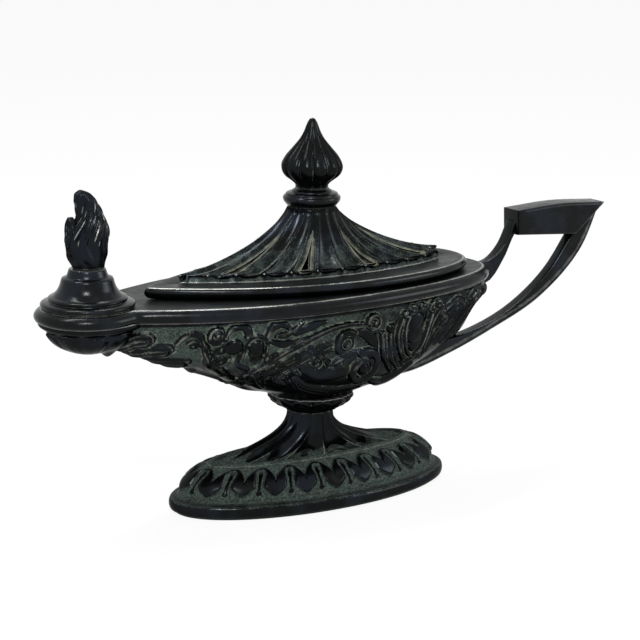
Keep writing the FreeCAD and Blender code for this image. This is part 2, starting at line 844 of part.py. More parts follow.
def make_finial_stud():
    bottom = crown_underside() - stud_washer_thickness - stud_nut_height - bolt_stick_out
    return cylinder(stud_radius, bottom, collar_top + stud_grip)


def make_finial_washer():
    top = crown_underside()
    washer = cylinder(stud_washer_radius, top - stud_washer_thickness, top)
    return washer.cut(cylinder(stud_radius + bolt_bore_gap, top - overrun, top + overrun))


def make_finial_nut():
    top = crown_underside() - stud_washer_thickness
    nut = hexagon(stud_nut_flats, top - stud_nut_height, top)
    return nut.cut(cylinder(stud_radius, top - stud_nut_height - overrun, top + overrun))


def make_cap():
    bottom = deck_top + lift_gap
    side = []
    flange_top = bottom + cap_bead_height - cap_flange_radius * 0.07
    start = vector(cap_flange_radius, 0, bottom)
    bulge = vector(cap_flange_radius - (cap_flange_radius - cap_bead_radius) * 0.3, 0,
                   bottom + (flange_top - bottom) * 0.75)
    shoulder = vector(cap_bead_radius, 0, flange_top)
    bead_out = vector(cap_bead_radius * 1.035, 0, bottom + cap_bead_height)
    bead_top = vector(cap_bead_radius * 0.97, 0, (bottom + cap_step_height + bottom + cap_bead_height) / 2)
    step_in = vector(cap_step_radius, 0, bottom + cap_step_height)
    disc = vector(cap_disc_radius, 0, bottom + cap_disc_height)
    bell = vector(cap_disc_radius * 1.06, 0, bottom + (cap_step_height + cap_disc_height) / 2)
    disc_out = vector(cap_disc_radius * 0.97, 0, bottom + cap_disc_height + cap_disc_radius * 0.07)
    collar_low = vector(cap_disc_radius * 0.86, 0, bottom + cap_disc_height + cap_disc_radius * 0.08)
    collar_top_point = vector(cap_top_radius, 0, bottom + cap_top_height)
    side.append(Part.LineSegment(vector(0, 0, bottom), start).toShape())
    side.append(Part.Arc(start, bulge, shoulder).toShape())
    side.append(Part.Arc(shoulder, bead_out, bead_top).toShape())
    side.append(Part.LineSegment(bead_top, step_in).toShape())
    side.append(Part.Arc(step_in, bell, disc).toShape())
    side.append(Part.LineSegment(disc, disc_out).toShape())
    side.append(Part.LineSegment(disc_out, collar_low).toShape())
    side.append(Part.LineSegment(collar_low, collar_top_point).toShape())
    side.append(Part.LineSegment(collar_top_point, vector(0, 0, bottom + cap_top_height)).toShape())
    side.append(Part.LineSegment(vector(0, 0, bottom + cap_top_height), vector(0, 0, bottom)).toShape())
    cap = turned(side, nozzle_x)
    socket = cylinder(holder_collar_radius + slip_gap, bottom - overrun,
                      deck_top + holder_collar_height + slip_gap, nozzle_x)
    cavity = cylinder(cap_cavity_radius, bottom - overrun, bottom + cap_cavity_height, nozzle_x)
    hole = cylinder(flame_screw_radius + bolt_bore_gap, bottom, bottom + cap_top_height + overrun, nozzle_x)
    return cap.cut([socket, cavity, hole])


def flame_wire(shift, half, z):
    centre = vector(nozzle_x + shift, 0, z)
    depth = half * flame_depth_share
    curve = Part.Ellipse(centre + vector(half, 0, 0), centre + vector(0, depth, 0), centre)
    return Part.Wire(curve.toShape())


def make_flame():
    bottom = deck_top + lift_gap + cap_top_height
    tongue_shares = [
        (0.08, 0.72, 0), (0, 0.86, 0.12), (0, 0.98, 0.28), (0.02, 1, 0.43), (0.08, 0.86, 0.57),
        (0.1, 0.6, 0.68), (0.05, 0.46, 0.8), (-0.16, 0.3, 0.92), (-0.34, 0.08, 1)]
    side_shares = [
        (-0.3, 0.4, 0.15), (-0.5, 0.42, 0.3), (-0.62, 0.38, 0.48), (-0.68, 0.26, 0.6), (-0.72, 0.1, 0.68)]
    bodies = []
    for shares in (tongue_shares, side_shares):
        wires = []
        for shift_share, half_share, rise_share in shares:
            wires.append(flame_wire(flame_half_width * shift_share, flame_half_width * half_share,
                                    bottom + flame_height * rise_share))
        bodies.append(Part.makeLoft(wires, True, False))
    flame = bodies[0].fuse(bodies[1])
    return flame.cut(cylinder(flame_screw_radius, bottom - overrun, bottom + flame_screw_grip, nozzle_x))


def make_flame_screw():
    bottom = deck_top + lift_gap
    head_top = bottom + cap_cavity_height
    shank = cylinder(flame_screw_radius, head_top, bottom + cap_top_height + flame_screw_grip, nozzle_x)
    head = cylinder(flame_screw_head_radius, head_top - flame_screw_head_height, head_top, nozzle_x)
    return shank.fuse(head)


def make_wick_holder():
    flange_bottom = deck_top - holder_flange_thickness
    flange = cylinder(nozzle_hole_radius + holder_flange_thickness, flange_bottom, deck_top, nozzle_x)
    collar = cylinder(holder_collar_radius, deck_top, deck_top + holder_collar_height, nozzle_x)
    tube = cylinder(holder_tube_radius, holder_tube_bottom, flange_bottom, nozzle_x)
    bore = cylinder(holder_tube_radius - holder_tube_wall, holder_tube_bottom - overrun,
                    deck_top + holder_collar_height + overrun, nozzle_x)
    return flange.fuse([collar, tube]).cut(bore)


def make_wick():
    radius = holder_tube_radius - holder_tube_wall - wick_gap
    top = deck_top + holder_collar_height + wick_rise
    return cylinder(radius, holder_tube_bottom - wick_tail, top, nozzle_x)


def make_tie_bolt():
    shank = cylinder(bolt_radius, bolt_seat_height,
                     bowl_floor + washer_thickness + nut_height + bolt_stick_out)
    head = cylinder(bolt_head_radius, bolt_seat_height - bolt_head_height, bolt_seat_height)
    return shank.fuse(head)


def make_tie_washer():
    washer = cylinder(washer_radius, bowl_floor, bowl_floor + washer_thickness)
    return washer.cut(cylinder(bolt_radius + bolt_bore_gap, bowl_floor - overrun, bowl_floor + overrun))


def make_tie_nut():
    bottom = bowl_floor + washer_thickness
    nut = hexagon(nut_across_flats, bottom, bottom + nut_height)
    return nut.cut(cylinder(bolt_radius, bottom - overrun, bottom + nut_height + overrun))


def side_point(pair):
    return vector(bowl_right_reach + pair[0], 0, bowl_rim + pair[1])


def plate_from(edges, width):
    """Extrude a closed outline of the XZ plane to both sides."""
    face = Part.Face(Part.Wire(edges))
    face.translate(vector(0, -width / 2, 0))
    return face.extrude(vector(0, width, 0))


def line(first, second):
    return Part.LineSegment(side_point(first), side_point(second)).toShape()


def curve(*pairs):
    return spline([side_point(pair) for pair in pairs])


def eased(solid, bevel):
    """Bevel the long edges of a plate that stands across the Y axis."""
    long_edges = []
    for edge in solid.Edges:
        first = edge.valueAt(edge.FirstParameter)
        last = edge.valueAt(edge.LastParameter)
        if abs(first.y - last.y) < bevel:
            long_edges.append(edge)
    return solid.makeChamfer(bevel, long_edges)


def make_handle(bowl, deck):
    lower = plate_from([
        curve(thumb_tip, lower_outer_high, lower_outer_middle, lower_outer_low, lower_outer_root),
        line(lower_outer_root, lower_inner_root),
        curve(lower_inner_root, lower_inner_middle, lower_inner_high, thumb_under_right),
        line(thumb_under_right, thumb_tip)], handle_width)
    upper = plate_from([
        line(upper_outer_top, upper_inner_top),
        curve(upper_inner_top, thumb_under_left, upper_inner_middle, upper_inner_foot, upper_inner_root),
        line(upper_inner_root, upper_outer_root),
        curve(upper_outer_root, upper_outer_foot, upper_outer_middle, upper_outer_top)], handle_width)
    thumb = plate_from([
        curve(thumb_left, thumb_crest, thumb_tip),
        line(thumb_tip, thumb_under_right),
        line(thumb_under_right, thumb_under_left),
        line(thumb_under_left, thumb_left)], thumb_width)
    straps = eased(lower, handle_edge_bevel).fuse(eased(upper, handle_edge_bevel))
    handle = straps.fuse(eased(thumb, handle_edge_bevel)).cut([bowl, deck])
    low_hole = seat_low(cylinder(screw_radius, -screw_wall - low_screw_grip, 0))
    high_hole = seat_high(cylinder(screw_radius, -screw_wall - high_screw_grip, 0))
    return handle.cut([low_hole, high_hole])


def make_dish():
    bottom = bowl_floor + lift_gap
    shelf = bottom + dish_foot_height
    top = bottom + dish_height
    outside = [
        Part.LineSegment(vector(0, 0, bottom), vector(dish_foot_radius, 0, bottom)).toShape(),
        Part.LineSegment(vector(dish_foot_radius, 0, bottom), vector(dish_foot_radius, 0, shelf)).toShape(),
        Part.Arc(vector(dish_foot_radius, 0, shelf),
                 vector((dish_foot_radius + dish_radius) / 2 + dish_wall, 0, (shelf + top) / 2 - dish_wall),
                 vector(dish_radius, 0, top)).toShape(),
        Part.LineSegment(vector(dish_radius, 0, top), vector(0, 0, top)).toShape(),
        Part.LineSegment(vector(0, 0, top), vector(0, 0, bottom)).toShape()]
    floor = shelf + dish_wall
    inside = [
        Part.LineSegment(vector(0, 0, floor), vector(dish_foot_radius - dish_wall, 0, floor)).toShape(),
        Part.Arc(vector(dish_foot_radius - dish_wall, 0, floor),
                 vector((dish_foot_radius + dish_radius) / 2, 0, (shelf + top) / 2),
                 vector(dish_radius - dish_wall, 0, top)).toShape(),
        Part.LineSegment(vector(dish_radius - dish_wall, 0, top), vector(0, 0, top)).toShape(),
        Part.LineSegment(vector(0, 0, top), vector(0, 0, floor)).toShape()]
    under = cylinder(dish_foot_radius - dish_wall, bottom - overrun, shelf)
    return turned(outside).cut([turned(inside), under])


def main():
    outside = bowl_outside()
    deck = make_deck()
    export(make_foot(), "foot")
    export(make_felt(), "foot_felt")
    export(make_tie_bolt(), "tie_bolt")
    export(make_tie_washer(), "tie_washer")
    export(make_tie_nut(), "tie_nut")
    export(make_bowl(outside), "bowl")
    export(deck, "rim_deck")
    export(make_handle(outside, deck), "handle")
    export(seat_low(handle_screw(low_screw_grip)), "handle_screw_low")
    export(seat_high(handle_screw(high_screw_grip)), "handle_screw_high")
    export(make_wick_holder(), "wick_holder")
    export(make_wick(), "wick")
    export(make_dish(), "incense_dish")
    export(make_lid_plate(), "lid_plate")
    export(make_locating_ring(), "locating_ring")
    export(make_dome(), "lid_dome")
    export(make_collar(), "finial_collar")
    export(make_finial(), "finial")
    export(make_finial_stud(), "finial_stud")
    export(make_finial_washer(), "finial_washer")
    export(make_finial_nut(), "finial_nut")
    export(make_cap(), "nozzle_cap")
    export(make_flame(), "flame")
    export(make_flame_screw(), "flame_screw")


main()
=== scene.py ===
import math
import bmesh
import bpy
import numpy as np
from mathutils import Matrix, Vector


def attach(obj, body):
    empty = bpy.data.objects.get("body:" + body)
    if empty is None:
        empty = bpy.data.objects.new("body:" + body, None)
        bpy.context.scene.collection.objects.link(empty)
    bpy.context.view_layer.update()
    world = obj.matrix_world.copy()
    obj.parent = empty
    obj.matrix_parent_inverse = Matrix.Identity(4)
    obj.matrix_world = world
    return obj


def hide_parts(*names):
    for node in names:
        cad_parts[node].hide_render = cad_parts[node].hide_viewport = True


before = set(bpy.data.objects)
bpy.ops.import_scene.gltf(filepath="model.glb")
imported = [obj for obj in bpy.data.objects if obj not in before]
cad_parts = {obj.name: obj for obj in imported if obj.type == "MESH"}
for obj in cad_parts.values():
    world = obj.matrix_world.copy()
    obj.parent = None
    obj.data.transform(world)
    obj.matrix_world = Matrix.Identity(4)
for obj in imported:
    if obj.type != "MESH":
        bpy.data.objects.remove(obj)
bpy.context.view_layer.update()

# Foot, the cast oval base: a rolled edge, a ledge, a sloping band of petals, a raised oval line and a
# fluted stem. Cast bronze, chemically blackened, with verdigris left where a cloth can't reach. It is one
# casting with a hollow underside. The band and the stem are rows of one motif wrapped between two outlines.
MM = 0.001
foot_half_length = 58.6
foot_half_width = 27.4
foot_edge_bottom = 1.0
foot_edge_top = 5.0
foot_edge_bulge = 0.9
band_low_half_length = 54.2
band_low_half_width = 23.4
band_bottom = 6.5
band_top = 16.6
band_roundness = 0.95
line_half_length = 43.0
line_half_width = 12.6
line_wire = 0.9
petal_count = 20
petal_start_share = 0.3
petal_height = 1.25
slot_depth = 0.6
foot_wall = 3.4
band_wall = 2.4
stem_wall = 2.5
neck_radius = 8.7
neck_top = 32.5
stem_flute_count = 14
stem_flute_share = 0.16
steps_per_motif = 400
ellipse_steps = 480
fine_steps = 3600
cloud_width = 14.0
patch_width = 3.5
grit_width = 0.6
grit_depth = 0.08
weld_distance = 0.01


def linear(hex_colour):
    """An sRGB hex colour as the linear values that a shader socket takes."""
    parts = [int(hex_colour[place:place + 2], 16) / 255 for place in (1, 3, 5)]
    return [part / 12.92 if part < 0.04045 else ((part + 0.055) / 1.055) ** 2.4 for part in parts] + [1.0]


def add_node(tree, kind, inputs=None, **settings):
    """Add a node with its settings. An input is a value, or the socket that it is linked from."""
    node = tree.nodes.new(kind)
    for name, value in settings.items():
        setattr(node, name, value)
    for key, value in (inputs or {}).items():
        if isinstance(value, bpy.types.NodeSocket):
            tree.links.new(value, node.inputs[key])
        else:
            node.inputs[key].default_value = value
    return node


def start_material(name, **shader_values):
    material = bpy.data.materials.new(name)
    material.use_nodes = True
    tree = material.node_tree
    tree.nodes.clear()
    shader = add_node(tree, "ShaderNodeBsdfPrincipled", shader_values)
    add_node(tree, "ShaderNodeOutputMaterial", {"Surface": shader.outputs["BSDF"]})
    place = add_node(tree, "ShaderNodeTexCoord").outputs["Object"]
    return material, tree, shader, place


def grain(tree, place, size_mm, detail=3.0):
    """Noise whose clouds are about size_mm wide."""
    inputs = {"Vector": place, "Scale": 1 / (size_mm * MM), "Detail": detail}
    return add_node(tree, "ShaderNodeTexNoise", inputs).outputs[0]


def ramp(tree, value, low, high, from_value=0.0, to_value=1.0):
    inputs = {"Value": value, "From Min": low, "From Max": high, "To Min": from_value, "To Max": to_value}
    return add_node(tree, "ShaderNodeMapRange", inputs, interpolation_type="SMOOTHSTEP").outputs[0]


def mix_colour(tree, share, first, second):
    """Mix two colours, each a hex colour or a socket."""
    first, second = (linear(colour) if isinstance(colour, str) else colour for colour in (first, second))
    return add_node(tree, "ShaderNodeMix", {0: share, 6: first, 7: second}, data_type="RGBA").outputs[2]


def calculate(tree, operation, first, second=0.0):
    return add_node(tree, "ShaderNodeMath", {0: first, 1: second}, operation=operation).outputs[0]


def patinated_bronze(name, edge_tint):
    """Cast bronze with a near-black patina: satin, faintly blue, with grey-green verdigris in the hollows
    and thin rubbed edges, which also carry painted highlights. The shares stored on a piece say where:
    hollow and ground take verdigris and vent_frame olive smoke; crest and arris take the pale rubbed
    colour, partly on worn crests and edges and partly as painted highlights and sheen; deep is painted
    shade, near-black, in slots and creases; and satin is a little rougher. edge_tint dims what it
    mirrors at a low angle."""
    material, tree, shader, place = start_material(name)
    given = {name: add_node(tree, "ShaderNodeAttribute", attribute_name=name).outputs["Fac"]
             for name in ("hollow", "crest", "ground", "vent_frame", "deep", "arris", "satin")}
    clouds = grain(tree, place, cloud_width)
    patches = grain(tree, place, patch_width, 5.0)
    grit = grain(tree, place, grit_width, 2.0)
    speckle = calculate(tree, "ADD", calculate(tree, "MULTIPLY", patches, 0.9),
                        calculate(tree, "MULTIPLY", grit, 0.5))
    loose = calculate(tree, "SUBTRACT", speckle, 0.72)

    def broken_up(name, spread=1.0):
        """A stored share whose edge the specks break up."""
        return calculate(tree, "ADD", given[name], calculate(tree, "MULTIPLY", loose, spread))

    patina = mix_colour(tree, ramp(tree, clouds, 0.45, 0.62), "#131415", "#1b1e24")
    patina = mix_colour(tree, ramp(tree, patches, 0.5, 0.8, 0.0, 0.6), patina, "#18201c")
    grown = ramp(tree, broken_up("ground"), 0.3, 1.1, 0.0, 0.9)
    verdigris = mix_colour(tree, ramp(tree, grit, 0.3, 0.75), "#252d2a", "#4f5c55")
    colour = mix_colour(tree, grown, patina, verdigris)
    lined = ramp(tree, broken_up("hollow"), 0.3, 0.9, 0.0, 0.85)
    lined = calculate(tree, "MULTIPLY", lined, calculate(tree, "SUBTRACT", 1.0, given["deep"]))
    chalk = mix_colour(tree, ramp(tree, patches, 0.35, 0.65), "#3f4b44", "#757f70")
    colour = mix_colour(tree, lined, colour, chalk)
    olive = ramp(tree, broken_up("vent_frame", 1.6), 0.45, 1.15, 0.0, 0.85)
    smoked = mix_colour(tree, ramp(tree, patches, 0.4, 0.65), "#414237", "#6b6d58")
    colour = mix_colour(tree, olive, colour, smoked)
    dull = calculate(tree, "MAXIMUM", calculate(tree, "MAXIMUM", grown, lined), olive)
    # Pale rubbed colour on worn crests and edges, which also serves as painted highlights and painted sheen.
    rubbed_and_highlit = calculate(tree, "MAXIMUM", ramp(tree, broken_up("crest", 0.6), 0.5, 1.05, 0.0, 0.5),
                       ramp(tree, broken_up("arris"), 0.55, 0.95, 0.0, 0.85))
    colour = mix_colour(tree, rubbed_and_highlit, colour, "#8d8f8a")
    # Painted shade: where the deep share is set, slots and creases go near-black.
    colour = mix_colour(tree, calculate(tree, "MULTIPLY", given["deep"], 0.8), colour, "#0b0c0c")
    tree.links.new(colour, shader.inputs["Base Color"])
    tree.links.new(ramp(tree, dull, 0.0, 1.0, 0.8, 0.0), shader.inputs["Metallic"])
    roughness = calculate(tree, "ADD", ramp(tree, dull, 0.0, 0.8, 0.17, 0.75),
                          ramp(tree, patches, 0.3, 0.7, 0.0, 0.1))
    roughness = calculate(tree, "ADD", roughness, calculate(tree, "MULTIPLY", given["satin"], 0.2))
    tree.links.new(roughness, shader.inputs["Roughness"])
    shader.inputs["Specular Tint"].default_value = linear(edge_tint)
    bump = add_node(tree, "ShaderNodeBump", {"Height": grit, "Strength": 0.35, "Distance": grit_depth * MM})
    tree.links.new(bump.outputs[0], shader.inputs["Normal"])
    return material


# What is turned or filed smooth mirrors more than the raw castings do.
bronze = patinated_bronze("cast_bronze_black_patina", "#92968f")
filed_bronze = patinated_bronze("filed_bronze_black_patina", "#e2e4e2")


def new_piece(name, points_mm, faces, material=bronze):
    """A smooth mesh piece at the origin, from points in millimetres."""
    mesh = bpy.data.meshes.new(name)
    mesh.from_pydata((np.asarray(points_mm, float) * MM).tolist(), [], faces)
    mesh.materials.append(material)
    mesh.polygons.foreach_set("use_smooth", [True] * len(mesh.polygons))
    mesh.update()
    piece = bpy.data.objects.new(name, mesh)
    bpy.context.scene.collection.objects.link(piece)
    return piece


def grid_faces(row_count, column_count, round_rows=False, round_columns=True):
    """Quads of a grid of points, row by row. A round grid joins its last row or column to its first."""
    faces = []
    for row in range(row_count if round_rows else row_count - 1):
        low = row * column_count
        high = (row + 1) % row_count * column_count
        for column in range(column_count if round_columns else column_count - 1):
            right = (column + 1) % column_count
            faces.append((low + column, low + right, high + right, high + column))
    return faces


def joined(name, parts, material=bronze):
    """One piece from several (points, faces) parts."""
    points = []
    faces = []
    for part_points, part_faces in parts:
        first = len(points)
        points.extend(np.asarray(part_points, float).reshape(-1, 3).tolist())
        faces.extend([tuple(first + corner for corner in face) for face in part_faces])
    return new_piece(name, points, faces, material)


def oval(half_length, half_width, turns):
    return np.column_stack([half_length * np.cos(turns), half_width * np.sin(turns)])


def at_height(loop, z):
    return np.column_stack([loop, np.full(len(loop), z)])


def ellipse_loop(half_length, half_width, z):
    turns = np.linspace(0, 2 * math.pi, ellipse_steps, endpoint=False) + math.pi
    return at_height(oval(half_length, half_width, turns), z)


def store(piece, **shares):
    """Store a share from 0 to 1 at each point, under its own name, for the patina to read."""
    for name, values in shares.items():
        attribute = piece.data.attributes.new(name, "FLOAT", "POINT")
        attribute.data.foreach_set("value", np.clip(values, 0, 1).astype(np.float32))


def points_mm(piece):
    points = np.zeros(len(piece.data.vertices) * 3)
    piece.data.vertices.foreach_get("co", points)
    return points.reshape(-1, 3) / MM


def heights_mm(piece):
    return points_mm(piece)[:, 2]


def weather(piece, depth_mm, passes, hollow_share=1.0, kept=1.0, **shares):
    """Store how far each point lies below (hollow) or above (crest) its surroundings, blurred in so many
    passes. What lies depth_mm off counts in full. hollow_share tones the hollows down, and kept fades
    both where the surface stays clean."""
    mesh = piece.data
    points = points_mm(piece)
    count = len(points)
    normals = np.zeros(count * 3)
    mesh.vertex_normals.foreach_get("vector", normals)
    normals = normals.reshape(-1, 3)
    edges = np.zeros(len(mesh.edges) * 2, int)
    mesh.edges.foreach_get("vertices", edges)
    starts, ends = edges[0::2], edges[1::2]
    degree = np.maximum(np.bincount(edges, minlength=count), 1)[:, None]
    blurred = points.copy()
    for number in range(passes):
        total = np.stack([np.bincount(starts, blurred[ends, axis], count) +
                          np.bincount(ends, blurred[starts, axis], count) for axis in range(3)], 1)
        blurred = total / degree
    rise = ((blurred - points) * normals).sum(1) / depth_mm * kept
    store(piece, hollow=rise * hollow_share, crest=-rise, **shares)


def step_up(values, low, high):
    """0 below low, 1 above high, and a smooth step between."""
    share = np.clip((values - low) / (high - low), 0, 1)
    return share * share * (3 - 2 * share)


def wrap_tree():
    """A row of motif tiles, wrapped round between two outlines. A tile's x is its share of a motif, and its
    attributes say how far out it lies, how high, and how it is lifted from the surface."""
    tree = bpy.data.node_groups.new("wrapped_motifs", "GeometryNodeTree")
    for name, kind in (("Motif Row", "Object"), ("Tile", "Object"), ("Second Tile", "Object"),
                       ("Third Tile", "Object"), ("Outlines", "Object"), ("Outline Steps", "Int"),
                       ("Steps Per Motif", "Int"), ("Bottom Height", "Float"), ("Top Height", "Float"),
                       ("Finish", "Material")):
        tree.interface.new_socket(name, in_out="INPUT", socket_type="NodeSocket" + kind)
    tree.interface.new_socket("Geometry", in_out="OUTPUT", socket_type="NodeSocketGeometry")
    given = add_node(tree, "NodeGroupInput").outputs

    def geometry_of(name, as_instance=False):
        info = add_node(tree, "GeometryNodeObjectInfo", {"Object": given[name], "As Instance": as_instance})
        return info.outputs["Geometry"]

    def named(name, kind="FLOAT"):
        node = add_node(tree, "GeometryNodeInputNamedAttribute", {"Name": name}, data_type=kind)
        return node.outputs["Attribute"]

    def vector(operation, first, second=None, scale=None):
        inputs = {0: first}
        if second is not None:
            inputs[1] = second
        if scale is not None:
            inputs["Scale"] = scale
        node = add_node(tree, "ShaderNodeVectorMath", inputs, operation=operation)
        return node.outputs["Value" if operation == "LENGTH" else "Vector"]

    tiles = add_node(tree, "GeometryNodeJoinGeometry")
    for name in ("Third Tile", "Second Tile", "Tile"):
        tree.links.new(geometry_of(name, True), tiles.inputs[0])
    copies = add_node(tree, "GeometryNodeInstanceOnPoints", {
        "Points": geometry_of("Motif Row"), "Instance": tiles.outputs[0], "Pick Instance": True,
        "Instance Index": named("pick", "INT")}).outputs[0]
    row = add_node(tree, "GeometryNodeRealizeInstances", {"Geometry": copies}).outputs[0]
    outlines = geometry_of("Outlines")
    position = add_node(tree, "GeometryNodeInputPosition").outputs[0]
    along = add_node(tree, "ShaderNodeSeparateXYZ", {0: position}).outputs[0]
    place = calculate(tree, "ROUND", calculate(tree, "MULTIPLY", along, given["Steps Per Motif"]))

    def sample(shift):
        index = calculate(tree, "ADD", place, shift)
        return add_node(tree, "GeometryNodeSampleIndex", {"Geometry": outlines, "Value": position,
                        "Index": index}, data_type="FLOAT_VECTOR", clamp=True).outputs[0]

    top_shift = calculate(tree, "ADD", given["Outline Steps"], 1.0)
    low = sample(1.0)
    high = sample(top_shift)
    low_way = vector("SUBTRACT", sample(2.0), sample(0.0))
    high_way = vector("SUBTRACT", sample(calculate(tree, "ADD", top_shift, 1.0)),
                      sample(calculate(tree, "ADD", top_shift, -1.0)))
    out = named("out")
    spread = vector("SUBTRACT", low, high)
    height = calculate(tree, "SUBTRACT", given["Top Height"], given["Bottom Height"])
    level = calculate(tree, "ADD", given["Bottom Height"], calculate(tree, "MULTIPLY", height, named("rise")))
    base = vector("ADD", vector("ADD", high, vector("SCALE", spread, scale=out)),
                  add_node(tree, "ShaderNodeCombineXYZ", {2: level}).outputs[0])
    across = vector("ADD", high_way, vector("SCALE", vector("SUBTRACT", low_way, high_way), scale=out))
    across = vector("SCALE", across, scale=calculate(tree, "MULTIPLY", given["Steps Per Motif"], 0.5))
    climb = calculate(tree, "MULTIPLY", height, named("rise_slope"))
    upward = vector("ADD", vector("SCALE", spread, scale=named("out_slope")),
                    add_node(tree, "ShaderNodeCombineXYZ", {2: climb}).outputs[0])
    outward = vector("NORMALIZE", vector("CROSS_PRODUCT", across, upward))
    lift = calculate(tree, "ADD", named("lift"),
                     calculate(tree, "MULTIPLY", named("lift_share"), vector("LENGTH", across)))
    target = vector("ADD", base, vector("SCALE", outward, scale=lift))
    wrapped = add_node(tree, "GeometryNodeSetPosition", {"Geometry": row, "Position": target}).outputs[0]
    welded = add_node(tree, "GeometryNodeMergeByDistance", {"Geometry": wrapped,
                                                            "Distance": weld_distance * MM}).outputs[0]
    smooth = add_node(tree, "GeometryNodeSetShadeSmooth", {"Geometry": welded}).outputs[0]
    finished = add_node(tree, "GeometryNodeSetMaterial", {"Geometry": smooth, "Material": given["Finish"]})
    add_node(tree, "NodeGroupOutput", {0: finished.outputs[0]})
    return tree


wrapped_motifs = wrap_tree()


def motif_tile(name, shares, levels, out_at, rise_at, lift, lift_share, skipped=None, **finish):
    """A flat tile of one motif. shares and the lifts are grids, one row for each level. skipped faces are
    left out, and walls join the two skins round that hole. finish has shares for the patina."""
    rows, columns = shares.shape
    points = np.stack([shares, np.repeat(np.arange(rows)[:, None], columns, 1), np.zeros_like(shares)], 2)
    faces = grid_faces(rows, columns, round_rows=True, round_columns=False)
    if skipped:
        outer_rows, inner_rows, hole_columns = skipped
        gone = set()
        for low, high in (outer_rows, inner_rows):
            for row in range(low, high):
                for column in range(*hole_columns):
                    gone.add(row * (columns - 1) + column)
        faces = [face for number, face in enumerate(faces) if number not in gone]
        left, right = hole_columns
        span = outer_rows[1] - outer_rows[0]
        for step in range(span):
            for column, turned in ((left, False), (right, True)):
                outer = (outer_rows[0] + step) * columns + column
                inner = (inner_rows[1] - step) * columns + column
                wall = [outer, inner, inner - columns, outer + columns]
                faces.append(tuple(wall if turned else reversed(wall)))
        for outer_row, inner_row, turned in ((outer_rows[0], inner_rows[1], False),
                                             (outer_rows[1], inner_rows[0], True)):
            for column in range(left, right):
                outer = outer_row * columns + column
                inner = inner_row * columns + column
                wall = [outer, outer + 1, inner + 1, inner]
                faces.append(tuple(reversed(wall) if turned else wall))
    tile = new_piece(name, points.reshape(-1, 3) / MM, faces)
    step = 0.001
    slopes = [(at(levels + step) - at(levels - step)) / (2 * step) for at in (out_at, rise_at)]
    for key, values in (("out", out_at(levels)), ("rise", rise_at(levels)), ("out_slope", slopes[0]),
                        ("rise_slope", slopes[1]), ("lift", lift * MM), ("lift_share", lift_share),
                        *finish.items()):
        values = np.asarray(values, float)
        if values.ndim == 1:
            values = np.repeat(values[:, None], columns, 1)
        attribute = tile.data.attributes.new(key, "FLOAT", "POINT")
        attribute.data.foreach_set("value", values.ravel().astype(np.float32))
    return tile


def wrapped_row(name, tiles, picks, bottom, top, low_mm, high_mm):
    """Wrap one tile for each pick round between two closed outlines, as a finished mesh."""
    row = new_piece(name + "_row", [(number / MM, 0, 0) for number in range(len(picks))], [])
    row.data.attributes.new("pick", "INT", "POINT").data.foreach_set("value", picks)
    lines = []
    for outline in (bottom, top):
        lines.append(np.concatenate([outline[-1:], outline, outline[:2]]))
    outlines = new_piece(name + "_outlines", np.concatenate(lines), [])
    host = new_piece(name, [(0, 0, 0)], [])
    tiles = list(tiles) + [tiles[0]] * (3 - len(tiles))
    values = {"Motif Row": row, "Tile": tiles[0], "Second Tile": tiles[1], "Third Tile": tiles[2],
              "Outlines": outlines, "Outline Steps": len(bottom) + 3, "Steps Per Motif": steps_per_motif,
              "Bottom Height": low_mm * MM, "Top Height": high_mm * MM, "Finish": bronze}
    modifier = host.modifiers.new("wrap", "NODES")
    modifier.node_group = wrapped_motifs
    for item in wrapped_motifs.interface.items_tree:
        if item.in_out == "INPUT":
            modifier[item.identifier] = values[item.name]
    bpy.context.view_layer.update()
    mesh = bpy.data.meshes.new_from_object(host.evaluated_get(bpy.context.evaluated_depsgraph_get()))
    host.modifiers.clear()
    host.data = mesh
    for helper in {row, outlines, *tiles}:
        bpy.data.objects.remove(helper)
    return host


def chord_outline(corners):
    """A closed outline through the corners, straight between them, with the steps that a row needs."""
    steps = np.arange(steps_per_motif)[:, None] / steps_per_motif
    sides = [start + (end - start) * steps for start, end in zip(corners, np.roll(corners, -1, 0))]
    return at_height(np.concatenate(sides), 0)


def run_lengths(line):
    """How far along a line each of its points lies."""
    return np.concatenate([[0], np.cumsum(np.hypot(*np.diff(line, axis=0).T))])


def even_corners(loop, count):
    """Points at even steps along a closed loop."""
    closed = np.vstack([loop, loop[:1]])
    lengths = run_lengths(closed)
    targets = lengths[-1] * np.arange(count) / count
    return np.column_stack([np.interp(targets, lengths, closed[:, axis]) for axis in (0, 1)])


def band_out(level):
    """Share of the way out from the oval line to the band's foot."""
    return np.clip(1 - level ** 2, 0, 1) ** band_roundness


def band_outline(half_length, half_width):
    """One edge of the petal band, at the same turns as the motifs' even steps round its middle."""
    out_share = band_out(0.5)
    middle_length = line_half_length + (band_low_half_length - line_half_length) * out_share
    middle_width = line_half_width + (band_low_half_width - line_half_width) * out_share
    turns = np.linspace(0, 2 * math.pi, fine_steps, endpoint=False)
    middle = even_corners(oval(middle_length, middle_width, turns), petal_count * steps_per_motif)
    shift = round((0.5 - petal_start_share) * steps_per_motif)
    corners = np.roll(middle, shift, axis=0)
    turn = np.arctan2(corners[:, 1] / middle_width, corners[:, 0] / middle_length)
    return at_height(oval(half_length, half_width, turn), 0)


